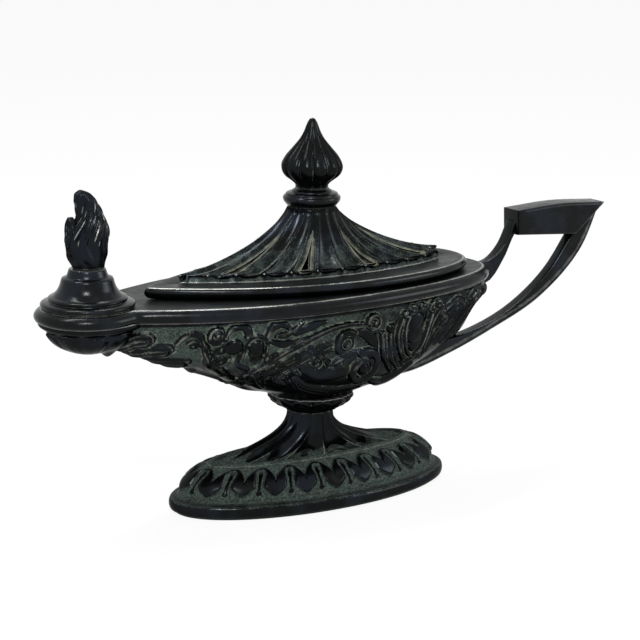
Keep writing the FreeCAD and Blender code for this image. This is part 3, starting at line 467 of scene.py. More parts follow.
def petal_tile():
    """One keyhole with half a heart-shaped petal at each side, arching over the keyhole's head."""
    columns = 56
    rise_steps = 56
    back_steps = 6
    crowding = 1.25
    head_level = 0.74
    head_half = 0.135
    throat_level = 0.6
    throat_half = 0.1
    rim_height = 0.5
    levels = np.concatenate([np.linspace(0, 1, rise_steps), np.linspace(1, 0, back_steps)])
    turns = np.linspace(-1, 1, columns + 1)
    across = 0.5 + 0.5 * np.sign(turns) * np.abs(turns) ** crowding
    shares = np.repeat(np.round(across * steps_per_motif)[None, :] / steps_per_motif, len(levels), 0)
    level = levels[:, None] + shares * 0
    middle = np.abs(shares - 0.5)
    edge = 0.5 - middle
    # The petal lies between its two edges, the arch above and the heart below, and beside the keyhole.
    arch = 0.6 + 0.34 * np.sin(math.pi * np.clip(shares, 0, 1)) ** 0.55
    heart = 0.1 + 0.26 * (edge / 0.36) ** 1.3
    head = np.sqrt(np.clip(head_half ** 2 - (np.clip(level - head_level, 0, 1) * 1.05) ** 2, 0, 1))
    flare = throat_half + 0.13 * np.clip((0.36 - level) / 0.3, 0, 1) ** 1.2
    throat = np.where(level > throat_level, throat_half + (level - throat_level) * 0.25, flare)
    keyhole = np.where(level > head_level, head, throat)
    inside = np.minimum(np.minimum(arch - level, level - heart), (middle - keyhole) * 1.1)
    inside = np.where((level > head_level) & (middle < head_half),
                      np.minimum(arch - level, level - head_level - head), inside)
    petal = petal_height * np.sqrt(step_up(inside, -0.015, 0.13))
    # The keyhole has a raised rim, and inside it a slot that is cut down.
    rim = rim_height * np.exp(-((middle - keyhole * 0.72) / 0.026) ** 2) * step_up(level, 0.12, 0.25)
    rim = rim * (1 - step_up(level, 0.86, 0.9))
    slot_half = np.where(level > 0.66, 0.056, 0.036) + 0.04 * np.exp(-((level - 0.22) / 0.05) ** 2)
    slot = (1 - step_up(middle, slot_half * 0.75, slot_half * 1.25))
    slot = slot * step_up(level, 0.15, 0.19) * (1 - step_up(level, 0.8, 0.84))
    margin = 0.35 * (1 - step_up(level, 0.0, 0.06)) + 0.3 * step_up(level, 0.955, 1.0)
    lift = petal + rim * (petal < rim_height) - slot_depth * slot + margin
    lift[rise_steps:] = -band_wall
    ground = np.clip(1.15 - petal / petal_height * 0.95, 0, 1)
    # Painted shade: the slot and a thin line along the band's foot go near-black, with no verdigris.
    slot = np.maximum(slot, np.exp(-((level - 0.012) / 0.014) ** 2))
    return motif_tile("petal_tile", shares, levels, band_out, lambda level: level, lift,
                      np.zeros_like(shares), ground=ground * (1 - slot), deep=slot)


def even_shares(columns, levels):
    """Even steps across a motif, in one row for each level."""
    return np.repeat(np.linspace(0, 1, columns + 1)[None, :], len(levels), 0)


def stem_out(level):
    """Share of the way out from the neck to the stem's foot."""
    return np.clip(1 - level, 0, 1) ** 2.6


def stem_tile():
    """One hollow flute of the stem with a sharp ridge at each side, deepest near its foot. The verdigris of
    the floor round it ends in a line that runs up the ridges."""
    deepest_level = 0.12
    tongue_foot = 0.09
    tongue_rise = 0.13
    outer = np.linspace(0, 1, 50) ** 1.2
    levels = np.concatenate([outer, outer[::-7]])
    shares = even_shares(22, levels)
    depth = stem_flute_share * (1 + 0.5 * np.exp(-((levels - deepest_level) / deepest_level) ** 2))
    share = -depth[:, None] * (1 - (2 * shares - 1) ** 2)
    lift = np.zeros_like(shares)
    lift[len(outer):] = -stem_wall
    share[len(outer):] = 0
    tongue_end = tongue_foot + tongue_rise * np.abs(2 * shares - 1) ** 1.5
    ground = 0.85 * (1 - step_up(levels[:, None] - tongue_end, -0.02, 0.02))
    return motif_tile("stem_tile", shares, levels, stem_out, lambda level: level, lift, share, ground=ground)


petal_band = wrapped_row("foot_petal_band", [petal_tile()], [0] * petal_count,
                         band_outline(band_low_half_length, band_low_half_width),
                         band_outline(line_half_length, line_half_width), band_bottom, band_top)
stem_turns = 2 * math.pi * (np.arange(stem_flute_count) + 0.5) / stem_flute_count
stem_inset = line_wire * 1.6
stem_low = oval(line_half_length - stem_inset, line_half_width - stem_inset, stem_turns)
stem_high = oval(neck_radius, neck_radius, stem_turns)
stem = wrapped_row("foot_stem", [stem_tile()], [0] * stem_flute_count,
                   chord_outline(stem_low), chord_outline(stem_high), band_top, neck_top)


def arc_rows(low, high, bulge, steps):
    """Heights and swellings of a rounded edge, from bottom to top."""
    turns = np.linspace(-math.pi / 2, math.pi / 2, steps)
    half = (high - low) / 2
    return [(low + half * (1 + math.sin(turn)), bulge * math.cos(turn)) for turn in turns]


ledge_rows = [(2.6, 5.25), (2.3, 5.3), (1.9, 5.3), (0.9, 6.1), (0.45, 6.9), (-0.4, 7.0), (-1.4, 6.6),
              (-foot_wall, 6.0), (-foot_wall, 1.0)]
floor_half_length = line_half_length - 0.6
floor_half_width = line_half_width - 0.6
boss_half_length = 11.0
boss_half_width = 6.0
line_inset = 0.5
foot_loops = []
for z, swell in arc_rows(foot_edge_bottom, foot_edge_top, foot_edge_bulge, 12):
    foot_loops.append(ellipse_loop(foot_half_length - foot_edge_bulge + swell,
                                   foot_half_width - foot_edge_bulge + swell, z))
for grow, z in ledge_rows:
    foot_loops.append(ellipse_loop(band_low_half_length + grow, band_low_half_width + grow, z))
line_loops = []
for turn in np.linspace(0, 2 * math.pi, 12, endpoint=False):
    line_loops.append(ellipse_loop(line_half_length - line_inset + line_wire * math.cos(turn),
                                   line_half_width - line_inset + line_wire * math.cos(turn),
                                   band_top + line_wire * math.sin(turn)))
floor_loops = [ellipse_loop(length, width, band_top - down) for length, width, down in (
    (floor_half_length, floor_half_width, 0.2), (boss_half_length, boss_half_width, 0.1),
    (boss_half_length, boss_half_width, 1.4), (floor_half_length, floor_half_width, 1.4))]
foot_rim = joined("foot_rim", [(loops, grid_faces(len(loops), ellipse_steps, True))
                               for loops in (foot_loops, line_loops, floor_loops)])
weather(petal_band, 0.5, 5)
weather(stem, 0.5, 5, 0.7)
rim_heights = heights_mm(foot_rim)
# Verdigris above the rolled edge, painted shade near-black along the ledge behind it, and a pale rubbed line
# on the edge's top that also serves as a painted highlight.
store(foot_rim, ground=step_up(rim_heights, foot_edge_top - 0.35, foot_edge_top) * 0.85,
      deep=np.exp(-((rim_heights - foot_edge_top - 0.27) / 0.07) ** 2),
      arris=np.exp(-((rim_heights - foot_edge_top + 0.3) / 0.1) ** 2) * 0.7)
for piece in (petal_band, stem, foot_rim):
    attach(piece, "stand")
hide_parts("foot")

# Bowl, the boat-shaped cast body: a hull with acanthus scrolls in low relief, a leaf calyx under it, and the
# round cup of the nozzle with its leaf. Bronze, cast in one with its ornament, and bolted to the stem.
bowl_left_reach = 104.0
bowl_right_reach = 76.4
bowl_half_width = 33.2
bowl_rim = 77.4
hull_bottom = 38.5
bowl_wall = 2.8
bowl_floor = 43.2
bowl_widest_share = 0.115
hull_steps = 1600
nozzle_x = -91.6
nozzle_radius = 17.6
nozzle_depth = 12.4
calyx_top = 39.4
calyx_shares = [0, 0.16, 0.42, 0.8, 1]
calyx_radii = [8.7, 10.3, 12.7, 14.9, 15.2]
hull_heights = [0, 0.08, 0.147, 0.24, 0.35, 0.547, 0.7, 0.84, 1]
hull_left = [0.14, 0.194, 0.267, 0.341, 0.438, 0.649, 0.786, 0.894, 1]
hull_right = [0.22, 0.43, 0.60, 0.745, 0.862, 0.953, 0.982, 0.995, 1]
hull_width = [0.36, 0.50, 0.62, 0.73, 0.825, 0.934, 0.973, 0.991, 1]
hull_fullness = [0.5, 0.55, 0.6, 0.65, 0.7, 0.75, 0.8, 0.9, 1.1]
hull_right_fullness = [0.9, 0.9, 0.9, 0.95, 1.0, 0.95, 0.8, 0.55, 0.45]


def smooth_values(places, values, at):
    """Values of a smooth curve through the given ones."""
    places, values, at = (np.asarray(item, float) for item in (places, values, at))
    slopes = np.gradient(values, places)
    number = np.clip(np.searchsorted(places, at, "right") - 1, 0, len(places) - 2)
    width = places[number + 1] - places[number]
    share = (at - places[number]) / width
    return ((2 * share ** 3 - 3 * share ** 2 + 1) * values[number] +
            (share ** 3 - 2 * share ** 2 + share) * width * slopes[number] +
            (3 * share ** 2 - 2 * share ** 3) * values[number + 1] +
            (share ** 3 - share ** 2) * width * slopes[number + 1])


def boat_half(left, right, widest, half_width, left_power, right_power, steps):
    """Half of a boat-shaped outline from the left tip to the right tip, as x and y columns."""
    along = -np.cos(np.linspace(0, math.pi, steps + 1))
    reach = np.where(along >= 0, right - widest, left + widest)
    power = np.where(along >= 0, right_power, left_power)
    across = np.clip(1 - along ** 2, 0, 1) ** power
    return np.column_stack([widest + reach * along, half_width * across])


def both_sides(half):
    """A closed loop from half an outline: from the left tip past the front to the back."""
    return np.vstack([half * [1, -1], half[-2:0:-1]])


def hull_half(height_share, inset, steps):
    """Half of the hull's outline at a share of its height, moved in by inset, in even steps."""
    left = bowl_left_reach * smooth_values(hull_heights, hull_left, height_share) - inset
    right = bowl_right_reach * smooth_values(hull_heights, hull_right, height_share) - inset
    half_width = bowl_half_width * smooth_values(hull_heights, hull_width, height_share) - inset
    fullness = smooth_values(hull_heights, hull_fullness, height_share)
    widest = -left * bowl_widest_share * smooth_values(hull_heights, hull_left, height_share)
    right_fullness = smooth_values(hull_heights, hull_right_fullness, height_share)
    half = boat_half(left, right, widest, half_width, fullness, right_fullness, hull_steps)
    runs = run_lengths(half)
    at = np.linspace(0, runs[-1], steps + 1)
    return np.column_stack([np.interp(at, runs, half[:, axis]) for axis in (0, 1)])


def circle_loop(radius, steps, centre_x=0.0):
    return oval(radius, radius, np.linspace(0, 2 * math.pi, steps, endpoint=False)) + [centre_x, 0]


def smooth_path(corners, steps=60):
    """A smooth line through the given corner points."""
    corners = np.asarray(corners, float)
    if len(corners) == 2:
        return np.linspace(corners[0], corners[1], steps)
    runs = run_lengths(corners)
    at = np.linspace(0, runs[-1], steps)
    return np.column_stack([smooth_values(runs, corners[:, axis], at) for axis in (0, 1)])


def scroll_path(centre, radius, turns, start_degrees, clockwise=False):
    """A spiral that winds in from radius to its eye."""
    eye_share = 0.22
    share = np.linspace(0, 1, 70)
    turn = math.radians(start_degrees) + (-1 if clockwise else 1) * share * turns * 2 * math.pi
    reach = radius * (1 - (1 - eye_share) * share)
    return oval(reach, reach, turn) + centre


two_more_veins_above = 2.0
vein_strength = 1.7
deepest_vein = 0.8
groove_share = 0.6
groove_gap = 0.32
groove_half = 0.34


class Relief:
    """Raised ornament carved over a field of (along, up) places in millimetres. Each form is cut free from
    the ones before it by a narrow groove round its edge."""

    def __init__(self, places):
        self.places = places
        self.height = np.zeros(places.shape[:-1])

    def stroke(self, path, wide, height, start, end, vein=0.0):
        """A rounded band along path, wide at its middle, and start and end shares of that at its ends. vein
        is how deep its middle line is cut. A wide band gets a finer line at each side too."""
        path = np.asarray(path, float)
        low = path.min(0) - wide * 1.6 - 1
        high = path.max(0) + wide * 1.6 + 1
        near = ((self.places >= low) & (self.places <= high)).all(-1)
        if not near.any():
            return
        spots = self.places[near]
        gaps = np.hypot(spots[:, None, 0] - path[None, :, 0], spots[:, None, 1] - path[None, :, 1])
        share = np.linspace(0, 1, len(path))
        swell = np.interp(share, [0, 0.45, 1], [start, 1, end]) * wide
        beyond = (gaps - swell[None, :]).min(1)
        inside = np.clip(1 - (gaps / swell[None, :]) ** 2.6, 0, 1) ** 0.5
        rise = (inside * (height * (0.5 + 0.5 * swell / wide))[None, :]).max(1)
        aside = (gaps / swell[None, :]).min(1)
        line = np.exp(-(aside / (0.12 + 0.25 / wide)) ** 2)
        if wide > two_more_veins_above:
            line += 0.7 * np.exp(-((aside - 0.55) / 0.13) ** 2)
        rise = rise * (1 - np.clip(vein_strength * vein * line, 0, deepest_vein))
        groove = groove_share * np.exp(-((beyond - groove_gap) / groove_half) ** 2)
        self.height[near] = np.maximum(self.height[near] * (1 - groove), rise)

    def boss(self, centre, radius, height):
        """A round bead with a groove round it."""
        self.stroke([centre, (centre[0] + 0.1, centre[1])], radius, height, 1, 1)

    def curl(self, centre, radius, turns, start_degrees, wide, height, clockwise=False, eye=0.4):
        """A band that winds in to a bead."""
        self.stroke(scroll_path(centre, radius, turns, start_degrees, clockwise), wide, height, 1, 0.55)
        self.boss(centre, radius * eye, height * 1.1)

    def band(self, corners, wide, height, start, end, vein=0.0, steps=60):
        """A stroke along a smooth line through the given corners."""
        self.stroke(smooth_path(corners, steps), wide, height, start, end, vein)


def draw_scrolls(relief):
    """The scrolls of the bowl's side, in millimetres along and up, as seen from the front. The forms that
    lie lowest come first."""
    swept = [
        ([(-79, 58.5), (-68, 55.5), (-58, 53.6), (-52, 53)], 2.4, 1.5, 0.3, 0.8),
        ([(-81, 61), (-72, 59.6), (-65, 59.6), (-60.8, 59.8)], 2.9, 1.9, 0.3, 1.0),
        ([(-83, 63.8), (-76, 64.8), (-72, 66.2), (-69, 66.4)], 3.1, 2.1, 0.3, 1.0),
        ([(-85, 65.5), (-81, 68.4), (-78.6, 70.4), (-76, 70.8)], 3.1, 2.3, 0.3, 1.0)]
    for path, wide, height, start, end in swept:
        relief.band(path, wide, height, start, end, 0.35)
    # The long stem that falls from the deck to the keel, with its curls.
    relief.band([(-66, 69.5), (-64.3, 72), (-61.8, 73), (-59, 71.5), (-56.8, 67.5), (-53, 62), (-47, 56.5),
                 (-40, 51.5), (-33, 47.5)], 1.5, 1.7, 0.7, 0.5)
    relief.curl((-61, 68.6), 1.7, 1.1, 150, 0.9, 1.3, True)
    relief.band([(-57, 66), (-52, 59), (-46, 55)], 1.2, 1.3, 0.4, 0.5)
    relief.band([(-53, 65.5), (-50, 66.8), (-47, 66.8)], 2.0, 1.6, 0.6, 1)
    relief.curl((-53.8, 72.3), 3.1, 1.5, -25, 1.1, 1.7, True, 0.3)
    relief.band([(-51, 71.5), (-49.3, 74.2), (-46.5, 75), (-43.8, 73.6), (-43.2, 71.4)], 1.5, 1.7, 0.5, 1)
    # A bud in its hood, between a bead and two curls.
    relief.band([(-45, 64), (-44, 60), (-40, 57.5), (-35.5, 52)], 1.0, 1.3, 0.6, 0.6)
    relief.band([(-43.6, 61.5), (-43.4, 67.5), (-40.2, 71), (-36.6, 69), (-35.8, 63.5), (-33.5, 60)],
                0.9, 1.2, 0.6, 0.6)
    relief.stroke([(-39.9, 67.2), (-39.5, 65), (-38.8, 62.4)], 2.7, 2.2, 1, 0.75)
    relief.boss((-47.5, 67.4), 3.0, 2.2)
    relief.curl((-50, 61.8), 2.2, 1.2, 20, 0.9, 1.4, True)
    relief.curl((-32.7, 62.2), 2.6, 1.2, 170, 1.0, 1.5)
    # Four leaves under the deck's edge.
    relief.band([(-36.5, 71), (-34.8, 74), (-31.5, 75), (-28.5, 73)], 1.8, 1.7, 0.6, 0.5)
    relief.band([(-35, 68.6), (-31, 67.4), (-26, 67.6), (-22, 69)], 1.7, 1.6, 0.5, 0.4)
    relief.band([(-33, 70.6), (-29, 71), (-26, 72.6), (-23.5, 75)], 1.7, 1.8, 0.6, 0.5, 0.3)
    relief.band([(-26, 70.6), (-21, 72.8), (-14, 74.2)], 1.8, 1.3, 0.5, 0.3)
    # Four small leaves on the long ribs, which climb to the right.
    for x, z in ((-36, 56), (-31, 59), (-26, 62), (-20.5, 64.6)):
        relief.band([(x + 8, z - 9), (x + 3.6, z - 5.4), (x + 1, z)], 2.0, 1.6, 0.4, 0.8, 0.4, 30)
    for shift, wide, height in ((-5.6, 2.0, 1.5), (-2.9, 2.2, 1.8)):
        relief.band([(-38, 52 + shift), (-32, 58.4 + shift), (-24, 63.8 + shift), (-15, 67.6 + shift),
                     (-7, 69.4 + shift)], wide, height, 0.4, 0.4, 0.45)
    relief.band([(-38.5, 55), (-31.5, 62.4), (-24.5, 66.4), (-18.5, 69), (-12, 71), (-4.5, 71.8), (3, 71.2)],
                1.7, 2.1, 0.5, 0.5, 0.3)
    # The low leaves of the middle and its two big spirals.
    relief.band([(-21, 51.4), (-17, 47.8), (-10, 45.2), (0, 44.4), (8, 45)], 2.3, 1.4, 0.5, 0.5, 0.3)
    relief.band([(-21, 57.6), (-15, 54), (-8, 52.6), (-2, 53.4)], 3.4, 1.6, 0.5, 0.5)
    relief.band([(-14, 60.4), (-10.5, 57.6), (-6, 57.4)], 1.3, 1.5, 0.5, 0.6)
    relief.curl((-16.2, 58.8), 2.0, 1.1, 300, 0.9, 1.6)
    relief.band([(-1, 68.6), (4, 67), (7.5, 63), (9, 58.5)], 2.4, 1.5, 0.5, 0.6, 0.2)
    relief.curl((-5.4, 64.8), 4.4, 1.6, 50, 1.5, 2.0, False, 0.34)
    relief.band([(-11, 56.6), (-6.5, 59.6), (-1, 61), (4, 60.4)], 1.4, 1.7, 0.5, 0.8)
    relief.curl((4.6, 53.8), 6.8, 1.7, 112, 1.7, 2.1, True, 0.3)
    relief.curl((6.3, 71.2), 2.9, 1.3, 170, 1.2, 2.0, True, 0.42)
    # Three husks that hang under two beads.
    for path, wide in (([(11, 66), (12.2, 61), (15.4, 55.5), (20.5, 50)], 2.0),
                       ([(20.6, 70.5), (19.2, 65), (20.8, 59.5), (25, 54)], 1.9),
                       ([(15.2, 65.5), (16.2, 60.5), (19, 55), (23.4, 51)], 2.0)):
        relief.band(path, wide, 1.9, 0.8, 0.5, 0.35)
    relief.boss((14.6, 68), 1.9, 2.1)
    relief.boss((20.6, 72.6), 1.2, 1.7)
    # The oval flower in its frame, with a crown of four curls.
    relief.stroke([(27.6, 68.4), (28.4, 63.6), (29.6, 58.6)], 4.2, 1.9, 0.9, 0.7)
    relief.band([(24.6, 73.6), (22, 69), (22.6, 62), (25.6, 56.6), (29.6, 53.8)], 0.9, 2.0, 0.8, 0.8)
    relief.band([(24.6, 73.6), (29.6, 74.6), (34, 72.4), (34.6, 65), (33, 58), (29.6, 53.8)],
                0.9, 2.0, 0.8, 0.8)
    for x, z, back in ((24.4, 73.4, True), (29.6, 74.8, False), (34.6, 73.2, False), (37.6, 73.4, True)):
        relief.curl((x, z), 1.5, 1.1, 90, 0.8, 1.9, back)
    for path in ([(26, 51.6), (30.5, 53.6), (35, 55.4)], [(30, 50.6), (34, 53), (40, 54)],
                 [(36, 51.6), (38.5, 55.6), (44, 58)]):
        relief.band(path, 1.0, 1.4, 0.6, 0.6)
    # The fans of long leaves that lean to the right end.
    relief.band([(36.4, 56.5), (37.4, 62), (37.8, 67), (40.4, 72.6)], 1.6, 1.8, 0.6, 0.7, 0.35)
    relief.band([(38.6, 56), (42.6, 60.4), (46.8, 65), (50.6, 69.6)], 2.1, 1.8, 0.6, 0.5, 0.35)
    relief.band([(44, 56.4), (49.6, 61.6), (54, 66.4), (57.6, 71.6)], 2.2, 1.8, 0.6, 0.5, 0.35)
    relief.band([(43.6, 71.4), (49.6, 73.6), (54.6, 71)], 1.3, 1.6, 0.6, 0.7)
    relief.curl((42.6, 66), 3.2, 1.2, 200, 1.1, 2.1, True, 0.5)
    relief.band([(50, 55), (56, 60.5), (61, 66), (64.6, 73)], 2.0, 1.8, 0.5, 0.7, 0.35)
    relief.curl((61, 72), 2.4, 1.1, 150, 1.0, 1.9, True, 0.5)
    relief.band([(57, 56), (63, 61.5), (67.6, 67), (70.4, 73)], 1.8, 1.7, 0.5, 0.7, 0.35)
    relief.band([(13, 46.4), (19, 44.6), (25, 45.8), (32, 50.4)], 2.1, 1.8, 0.6, 0.5)


def end_fans(row_count, column_count, low_point, high_point):
    """Triangles that close a grid's first row on low_point and its last row on high_point."""
    last = (row_count - 1) * column_count
    faces = []
    for column in range(column_count):
        right = (column + 1) % column_count
        faces.append((right, column, low_point))
        faces.append((last + column, last + right, high_point))
    return faces


relief_end = 75.5
hull_line = 76.7
spout_line = 74.1
line_half = 0.42
keel_half = 2.4
keel_rise = 1.3
inner_slope = 1.7


def hull_parts():
    """The hull's closed skin with the relief lifted from its outside, and the verdigris between the forms."""
    columns = 400
    hull_height = bowl_rim - hull_bottom
    heights = np.concatenate([np.linspace(0, 0.2, 22, endpoint=False),
                              np.linspace(0.2, 0.93, 78, endpoint=False), np.linspace(0.93, 1, 9)])
    skin = np.array([at_height(both_sides(hull_half(share, 0, columns)), hull_bottom + hull_height * share)
                     for share in heights])
    outward = np.cross(np.roll(skin, -1, 1) - np.roll(skin, 1, 1), np.gradient(skin, axis=0))
    outward /= np.linalg.norm(outward, axis=2, keepdims=True) + 1e-9
    # The front half is carved, and the back half mirrors it.
    front = skin[:, :columns + 1]
    along, deep, up = front[..., 0], front[..., 1], front[..., 2]
    relief = Relief(front[..., [0, 2]])
    draw_scrolls(relief)
    height = relief.height * (1 - step_up(up, relief_end, relief_end + 0.6))
    # Verdigris in the ground between the forms, fading out towards the bottom and thinning towards the right
    # end.
    ground = (1 - step_up(height, 0.1, 0.7)) * (1 - step_up(up, 75.2, 76)) * step_up(up, 42, 66)
    ground = ground * (0.55 + 0.45 * step_up(-along, -30, 40))
    # Two raised lines: one under the rim all round, and one on the spout.
    spout = step_up(-along, 56, 60) * (1 - step_up(-along, 71, 74))
    for z, rise, span in ((hull_line, 0.5, 1), (spout_line, 0.35, spout)):
        height = height + span * rise * np.exp(-((up - z) / line_half) ** 2)
    keel = np.exp(-(deep / keel_half) ** 2)
    keel_span = step_up(-along, 16, 30) * (1 - step_up(-along, 50, 55))
    height = height * (1 - 0.6 * keel) + keel_rise * keel * keel_span
    lift, ground = (np.concatenate([half, half[:, -2:0:-1]], 1) for half in (height, ground))
    skin = skin + outward * lift[..., None]
    inner = []
    for share in (1.0, 0.8, 0.6, 0.4, 0.25, 0.147, 0.08):
        z = hull_bottom + hull_height * share + inner_slope * (1 - share)
        inner.append(at_height(both_sides(hull_half(share, bowl_wall, columns)), z))
    floor_middle = (inner[-1][:, 0].mean(), 0, bowl_floor)
    points = np.vstack([skin.reshape(-1, 3), *inner, floor_middle, (0, 0, hull_bottom)])
    row_count = len(heights) + len(inner)
    faces = grid_faces(row_count, columns * 2)
    faces += end_fans(row_count, columns * 2, len(points) - 1, len(points) - 2)
    ground = np.concatenate([ground.ravel(), np.zeros(len(points) - ground.size)])
    return points, faces, ground


hull_points, hull_faces, hull_ground = hull_parts()
bowl_hull = joined("bowl_hull", [(hull_points, hull_faces)])


def turned_part(profile, columns, centre_x=0.0):
    """A closed turned shell from (radius, height) pairs, up outside and down inside or to the axis."""
    rows = [at_height(circle_loop(radius, columns, centre_x), height) for radius, height in profile]
    return np.vstack(rows), grid_faces(len(rows), columns, round_rows=True)


def nozzle_part():
    """The cup under the nozzle, narrower below its rim, with a big leaf whose tip curls down behind it."""
    columns = 300
    pole_share = 0.004
    narrowing = 0.12
    lobe_rise = 1.1
    vein_rise = 0.12
    tip_x = 7.0
    tip_drop = 2.6
    turns = np.linspace(0, 2 * math.pi, columns, endpoint=False)
    stretch = 1 + 0.55 * np.clip(np.cos(turns), 0, 1)
    lobes = np.abs(np.sin(turns * 4.5 + 0.4))
    leaf_rise = lobe_rise * lobes + vein_rise * np.cos(turns * 27)
    rows = []
    for share in np.linspace(pole_share, 1, 64):
        angle = share * math.pi / 2
        radius = nozzle_radius * math.sin(angle) * (1 - narrowing * (1 - step_up(share, 0.8, 0.93)))
        z = bowl_rim - nozzle_depth * math.cos(angle)
        across = radius * np.sin(turns)
        along = radius * np.cos(turns) * stretch
        leaf = step_up(share, 0.2, 0.5) * (1 - step_up(share + 0.1 * (1 - lobes), 0.77, 0.82))
        scale = 1 + leaf_rise * leaf / nozzle_radius
        tip = tip_drop * np.exp(-((along - tip_x) / 2.0) ** 2 - (across / 5.5) ** 2)
        rows.append(np.column_stack([nozzle_x + along * scale, across * scale, z - tip]))
    for share in np.linspace(1, pole_share, 14):
        angle = share * math.pi / 2
        radius = (nozzle_radius - bowl_wall) * math.sin(angle)
        z = bowl_rim - (nozzle_depth - bowl_wall) * math.cos(angle)
        rows.append(at_height(circle_loop(radius, columns, nozzle_x), z))
    return np.vstack(rows), grid_faces(len(rows), columns)


def calyx_part():
    """The cup of twelve veined leaves between the stem and the hull, round a core for the bolt."""
    columns = 360
    leaf_count = 12
    core_radius = 5.0
    turns = np.linspace(0, 2 * math.pi, columns, endpoint=False)
    place = (turns * leaf_count / (2 * math.pi)) % 1
    edge = np.abs(place - 0.5) * 2
    vein = 0.5 * np.exp(-((place - 0.5) / 0.06) ** 2)
    leaf = 0.9 * np.sqrt(np.clip(1 - edge ** 2, 0, 1)) + vein
    heights = np.linspace(0, 1, 40)
    rows = []
    for share, radius in zip(heights, smooth_values(calyx_shares, calyx_radii, heights)):
        lobes = 0.35 * np.abs(np.sin(share * 9 + edge * 3))
        reach = radius + (leaf + lobes) * step_up(share, 0.0, 0.3) * 0.9
        z = neck_top + (calyx_top - neck_top) * share
        rows.append(at_height(oval(reach, reach, turns), z))
    rows += [at_height(circle_loop(core_radius, columns), z) for z in (calyx_top, neck_top)]
    return np.vstack(rows), grid_faces(len(rows), columns, round_rows=True)


bowl_ends = joined("bowl_nozzle_and_calyx", [nozzle_part(), calyx_part()])
weather(bowl_hull, 0.5, 4, ground=hull_ground)
weather(bowl_ends, 0.5, 5)
for piece in (bowl_hull, bowl_ends):
    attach(piece, "stand")
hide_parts("bowl")

# Rim deck, the flat cast rim that closes the bowl's edge: a rounded band with the big opening under the lid
# and the hole of the nozzle. Bronze, filed flat on top and soldered to the bowl.
deck_half_width = 34.4
deck_left_reach = 105.6
deck_right_reach = 76.0
deck_top = 81.7
waist_x = -80.8
waist_half_width = 15.0
nozzle_hole_radius = 9.2
holder_flange = 1.2
lid_left_reach = 69.6
lid_right_reach = 66.6
lid_half_width = 29.8
lid_widest_x = 7.5
ring_inset = 6.5
loop_steps = 480
body_steps = 44
oval_steps = 900
well_steps = 96
deck_edge_rows = [(0, -1.0), (0, 0.6), (0.1, 0.8), (0.8, 1.2), (1.5, 1.3), (2.2, 1.15), (2.9, 0.75),
                  (3.5, 0.15), (3.9, -0.5), (4.15, -1.1), (4.27, -1.6), (4.3, -2.0), (4.3, -2.5)]
opening_rows = [(0.9, 0), (0.35, 0), (0.1, 0.15), (0, 0.5), (0, deck_top - bowl_rim)]
closing_distance = 0.004
sharp_angle = math.radians(38)


def deck_loop(grow):
    """The deck's outline: the boat shape, the waist and the round nozzle end."""
    body = boat_half(deck_left_reach + grow, deck_right_reach + grow, -deck_left_reach * bowl_widest_share,
                     deck_half_width + grow, 1.1, 0.45, body_steps)
    corners = [tuple(corner) for corner in body if corner[0] > waist_x + nozzle_radius / 3]
    corners.append((waist_x, waist_half_width + grow))
    radius = nozzle_radius + grow
    for degrees in (112, 101, 90, 77, 65, 52, 40, 29, 18, 9, 0):
        turn = math.radians(degrees)
        corners.append((nozzle_x - radius * math.cos(turn), radius * math.sin(turn)))
    half = smooth_path(sorted(corners), loop_steps // 2 + 1)
    half[0, 1] = half[-1, 1] = 0
    return both_sides(half)


def lid_loop(inset):
    """The lid plate's pointed oval, moved in by inset."""
    half = boat_half(lid_left_reach - inset, lid_right_reach - inset, lid_widest_x, lid_half_width - inset,
                     0.9, 0.45, oval_steps)
    return even_corners(both_sides(half), loop_steps)


def ring_edges(count, first=0):
    """Edges that join count corners to a ring."""
    return [(first + number, first + (number + 1) % count) for number in range(count)]


def fill_between(corners, edges):
    """Triangles between an outline and the holes in it, facing up."""
    sheet = bmesh.new()
    verts = [sheet.verts.new((x, y, 0)) for x, y in corners]
    lines = [sheet.edges.new((verts[start], verts[end])) for start, end in edges]
    sheet.verts.index_update()
    bmesh.ops.triangle_fill(sheet, use_beauty=True, edges=lines, normal=(0, 0, 1))
    faces = []
    for face in sheet.faces:
        face.normal_update()
        numbers = tuple(vert.index for vert in face.verts)
        faces.append(numbers if face.normal.z > 0 else numbers[::-1])
    sheet.free()
    return faces


def deck_parts():
    """Strips for the edges, and filled flats between the outline and the two openings."""
    outer = [at_height(deck_loop(swell), bowl_rim + rise) for rise, swell in deck_edge_rows]
    inner = [at_height(lid_loop(ring_inset - 0.3 - inset), deck_top - down) for inset, down in opening_rows]
    seat_radius = nozzle_hole_radius + holder_flange
    well_rows = [(seat_radius, deck_top), (seat_radius, deck_top - holder_flange),
                 (nozzle_hole_radius, deck_top - holder_flange), (nozzle_hole_radius, bowl_rim)]
    wells = [at_height(circle_loop(radius, well_steps, nozzle_x), z) for radius, z in well_rows]
    parts = [(loops, grid_faces(len(loops), len(loops[0]))) for loops in (outer, inner, wells)]
    for z, borders, turned in ((deck_top, (outer[-1], inner[0], wells[0]), False),
                               (bowl_rim, (outer[0], inner[-1], wells[-1]), True)):
        corners = []
        edges = []
        for border in borders:
            edges.extend(ring_edges(len(border), len(corners)))
            corners.extend([tuple(corner[:2]) for corner in border])
        flat = fill_between(corners, edges)
        parts.append(([(x, y, z) for x, y in corners], [face[::-1] if turned else face for face in flat]))
    return parts


